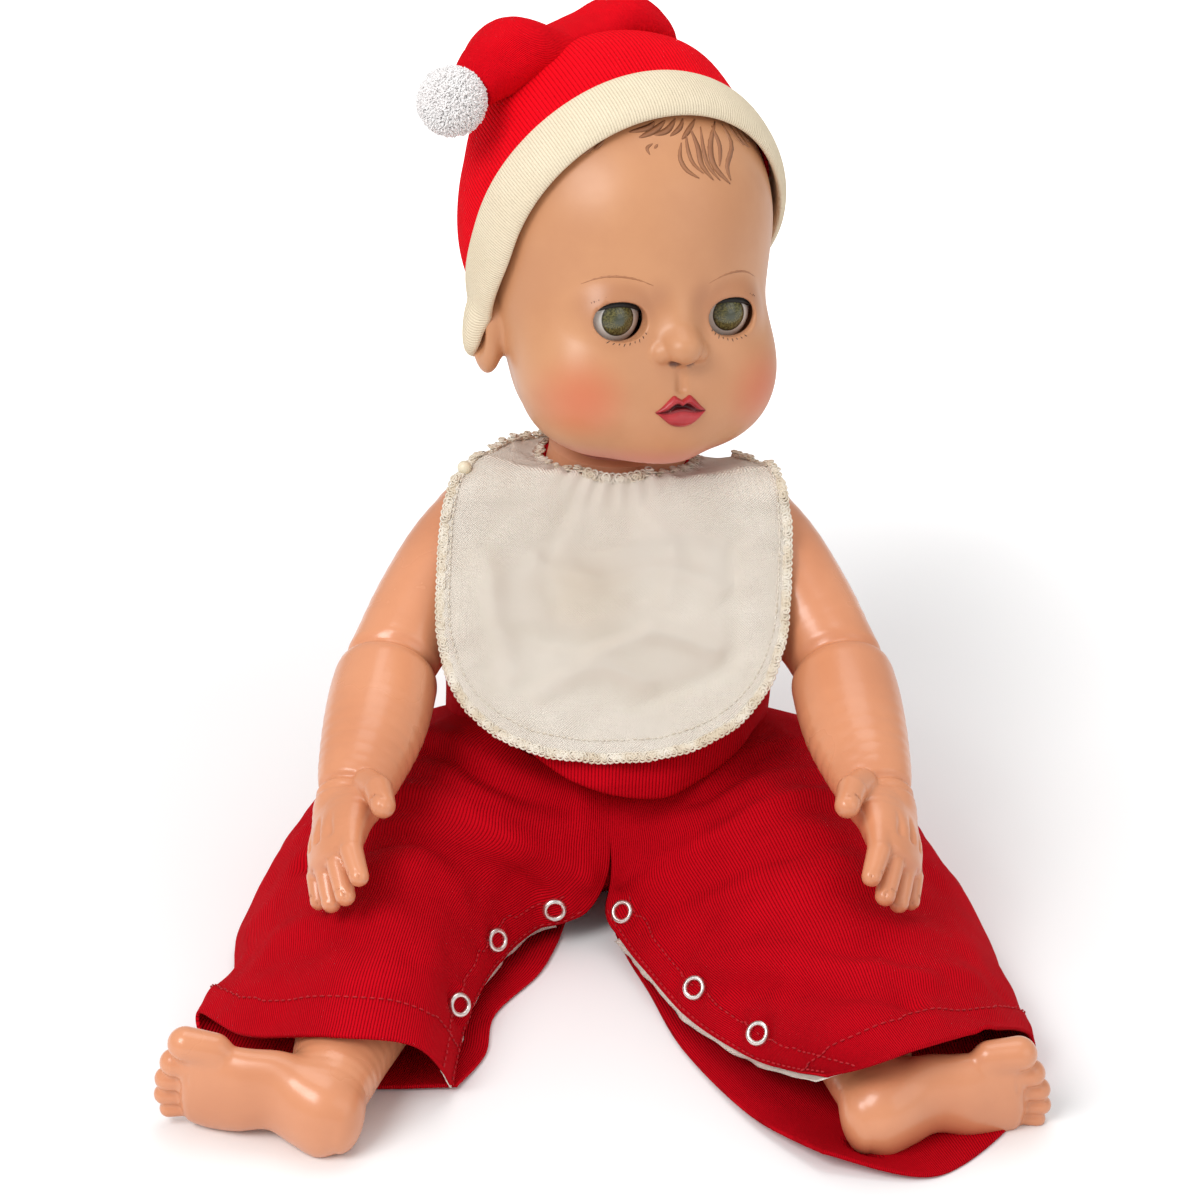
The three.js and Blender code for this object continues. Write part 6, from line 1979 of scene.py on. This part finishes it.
def cut_apart(piece, name):
    """The right side, the middle and the left side of a cloth, with the shading of the whole."""
    parts = {}
    for side in (-1, 0, 1):
        work = bmesh.new()
        work.from_mesh(piece.data)
        for x in (-BIB_FOLD, BIB_FOLD):
            everything = work.verts[:] + work.edges[:] + work.faces[:]
            bmesh.ops.bisect_plane(work, geom=everything, plane_co=(x * MM, 0, 0), plane_no=(1, 0, 0))
        work.normal_update()
        keep = work.verts.layers.float_vector.new("whole")
        for vert in work.verts:
            vert[keep] = vert.normal
        others = [f for f in work.faces if zone(f.calc_center_median().x / MM) != side]
        bmesh.ops.delete(work, geom=others, context="FACES")
        bmesh.ops.holes_fill(work, edges=[e for e in work.edges if e.is_boundary], sides=0)
        bmesh.ops.triangulate(work, faces=[f for f in work.faces if len(f.verts) > 4])
        mesh = bpy.data.meshes.new("%s_%d" % (name, side))
        work.to_mesh(mesh)
        work.free()
        for material in piece.data.materials:
            mesh.materials.append(material)
        normals = [tuple(value.vector) for value in mesh.attributes["whole"].data]
        mesh.attributes.remove(mesh.attributes["whole"])
        mesh.normals_split_custom_set_from_vertices(normals)
        parts[side] = bpy.data.objects.new(name, mesh)
        bpy.context.scene.collection.objects.link(parts[side])
    bpy.data.objects.remove(piece)
    return parts


def give_way(piece):
    """A side of the bib, given a mesh of its own."""
    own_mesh(piece)


def make_bib():
    cols, rows = 220, 76
    turn = np.radians(np.linspace(BIB_END[0], BIB_END[1], cols))
    edge = bib_edge(turn)
    share = np.linspace(0, 1, rows)[:, None]
    far = BIB_NECK_R + (edge - BIB_NECK_R)[None, :] * share
    across, down = far * np.sin(turn), far * np.cos(turn)
    grid = clear_of_head(clear_of_arms(bib_point(across, down), 1.6), 6.2)
    out = grid_normals(grid)
    if out[40, 132, 1] > 0:
        out = -out
    flat = np.stack([across, down, 0 * across], -1)
    wave = 1.6 * ripple(flat, 24, 1) + 1.0 * ripple(flat, 10, 5) + 0.4 * ripple(flat, 5, 9)
    for keys, high, wide in BIB_CREASES:
        line = [(x, d, 0) for x, d in keys]
        wave = wave + high * np.exp(-((nearest_to(flat, line) / wide) ** 2))
    wave = np.maximum(wave, -2.6)
    gather = np.sin(turn * 34)[None, :] * (1 - ease(0, 0.16, share))
    frill = np.sin(turn * 46)[None, :] * ease(0.93, 1, share)
    hem = ease(HEM_SHARE, 0.95, share) * (0.55 + 0.45 * np.sin(turn * 120))
    grid = grid + out * (wave * ease(0, 0.1, share) + 1.0 * gather + 0.6 * frill + hem + 1.4)[..., None]
    uv = np.stack([across, down], -1)
    cloth = lofted("bib_sheet", grid, WHITE_COTTON, around=False, uv=uv, facing=(0, -1, 0.2))
    thicken(cloth, BIB_THICK)
    line = int(rows * HEM_SHARE)
    rim, way, facing = grid[-1], unit(grid[-1] - grid[-3]), out[-1]
    names = {-1: "right", 0: "middle", 1: "left"}
    for side, part in cut_apart(cloth, "bib_part").items():
        name = names[side]
        part.name = "bib_sheet" if side == 0 else "bib_side_" + name
        seam = "bib_stitches_" + name
        stitches = stitch_line(seam, grid[line], out[line], 2.6, WHITE_THREAD, 0.002, part=side)
        loops = lace_rows("lace_edging_" + name, rim, way, facing, PICOT, side)
        place(part, "torso", "white_cotton", *(["bib_cloth"] if side == 0 else []))
        place(stitches, "torso", "white_cotton")
        place(loops, "torso", "white_lace", *(["bib_lace"] if side == 0 else []))
        if side:
            for piece in (part, stitches, loops):
                give_way(piece)
    neck = lace_rows("neck_edging", grid[0], unit(grid[0] - grid[2]), out[0], PICOT * 1.25)
    place(neck, "torso", "white_lace")

    low, high = (np.array(corner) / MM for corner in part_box("bib_bead"))
    nearest = np.argmin(np.linalg.norm(rim - (low + high) / 2, axis=-1))
    place(bead("pearl_bead", rim[nearest] + facing[nearest] * 1.5), "torso", "button_plastic", "bib_bead")
    make_neckband()


def lace_rows(name, rim, way, facing, pitch, part=None):
    """Overlapping rows of thread loops along an edge, or only those on one part of the bib."""
    lengths = path_lengths(rim)
    made = []
    for off, radius, thread, shift, step in LACE_ROWS:
        places = np.arange(pitch * (0.5 + shift), lengths[-1], pitch * step)
        edge, ahead, out = (picked_from(values, lengths, places) for values in (rim, way, facing))
        at = edge + ahead * off
        tilt = unit(out + 0.25 * np.sin(places * 1.7)[:, None] * ahead)
        if part is not None:
            mine = zone(at[:, 0]) == part
            at, tilt, ahead = at[mine], tilt[mine], ahead[mine]
        made.append(row("loops", at, tilt, ahead, LOOPS, LACE_THREAD, Radius=radius * MM, Thread=thread * MM))
    return joined(name, made)


def bead(name, at):
    turn = np.linspace(0, 2 * math.pi, 24, endpoint=False)
    polar = np.linspace(0.1, math.pi - 0.1, 14)
    ball = np.stack(ball_ways(polar, turn), -1)
    return lofted(name, at + BEAD_R * ball, BUTTON_PLASTIC, caps=(True, True))


def make_neckband():
    turn = np.radians(np.linspace(30, 150, 70))
    section = [(30.6, 7.4), (32.2, 7.4), (32.4, 10), (32.2, 13), (30.6, 13), (30.5, 10)]
    rings = []
    first = unit(np.cross((0, 1, 0), HEAD_UP))
    second = np.cross(HEAD_UP, first)
    for t in turn:
        way = math.cos(t) * first + math.sin(t) * second
        rings.append([HEAD_AT + way * r + HEAD_UP * h for r, h in section])
    band = lofted("tie_band", np.array(rings), WHITE_COTTON, caps=(True, True))
    place(band, "torso", "white_cotton", "bib_neckband")


# Finish on the pieces that keep their CAD form


def finish_inner_pieces():
    looks = {
        "neck_plug": NECK_VINYL,
        "rocker_wire": WIRE_STEEL,
        "eye_weight": LEAD,
    }
    for name in SIDES:
        looks["eye_saddle_" + name] = PLUG_PLASTIC
        looks["shoulder_plug_" + name] = PLUG_PLASTIC
        looks["hip_plug_" + name] = PLUG_PLASTIC
    for key, look in looks.items():
        mesh = frame["nodes"][key].data
        mesh.materials.clear()
        mesh.materials.append(look)


# Floor, light and camera


def make_studio():
    scene = bpy.context.scene
    scene.view_settings.view_transform = "Standard"
    half = 30.0
    mesh = bpy.data.meshes.new("floor")
    corners = [(-half, -half, 0), (half, -half, 0), (half, half, 0), (-half, half, 0)]
    mesh.from_pydata(corners, [], [(0, 1, 2, 3)])
    floor = bpy.data.objects.new("floor", mesh)
    scene.collection.objects.link(floor)
    material, tree, shader = finish("pale floor", 0.9, Specular_IOR_Level=0.0)
    shader["Base Color"].default_value = (0.9, 0.9, 0.9, 1)
    shader["Emission Color"].default_value = (1, 1, 1, 1)
    far = node(tree, "VectorMath", {0: object_place(tree)}, operation="LENGTH").outputs["Value"]
    camera_only = node(tree, "LightPath").outputs["Is Camera Ray"]
    glow = ramped(tree, far, 0.2, 0.6, 0.0, 0.6)
    put(shader["Emission Strength"], calc(tree, "MULTIPLY", camera_only, glow))
    mesh.materials.append(material)

    world = bpy.data.worlds.new("studio")
    scene.world = world
    world.use_nodes = True
    tree = world.node_tree
    back = tree.nodes["Background"]
    rays = node(tree, "LightPath").outputs
    mirrored_rays = calc(tree, "MAXIMUM", rays["Is Glossy Ray"], rays["Is Transmission Ray"])
    lit = ramped(tree, mirrored_rays, 0, 1, WORLD_LIGHT, WORLD_MIRRORED)
    back.inputs["Color"].default_value = (1, 1, 1, 1)
    put(back.inputs["Strength"], calc(tree, "MAXIMUM", rays["Is Camera Ray"], lit))

    for name, at, watts, wide in (
        ("key light", (-1.0, -1.25, 1.7), 27.0, 1.0),
        ("fill light", (1.5, -1.1, 1.0), 6.0, 1.4),
        ("top light", (0.1, 0.4, 2.0), 9.0, 1.2),
    ):
        lamp = bpy.data.lights.new(name, "AREA")
        lamp.energy = watts
        lamp.size = wide
        made = bpy.data.objects.new(name, lamp)
        made.location = at
        made.rotation_euler = (Vector((0, 0, 0.13)) - Vector(at)).to_track_quat("-Z", "Y").to_euler()
        scene.collection.objects.link(made)

    camera = bpy.data.cameras.new("camera")
    camera.lens = VIEW_LENS
    camera.sensor_width = 36
    camera.clip_start = 0.05
    eye = bpy.data.objects.new("camera", camera)
    up = math.radians(VIEW_UP)
    aim = Vector(VIEW_AT) * MM
    eye.location = aim + Vector((0, -math.cos(up), math.sin(up))) * VIEW_FAR * MM
    eye.rotation_euler = (aim - eye.location).to_track_quat("-Z", "Y").to_euler()
    scene.collection.objects.link(eye)
    scene.camera = eye


make_studio()
make_head()
make_face_paint()
make_lips()
make_eyes()
make_limbs()
make_torso()
make_cap()
make_overalls_body()
make_trousers()
make_straps()
make_bib()
finish_inner_pieces()
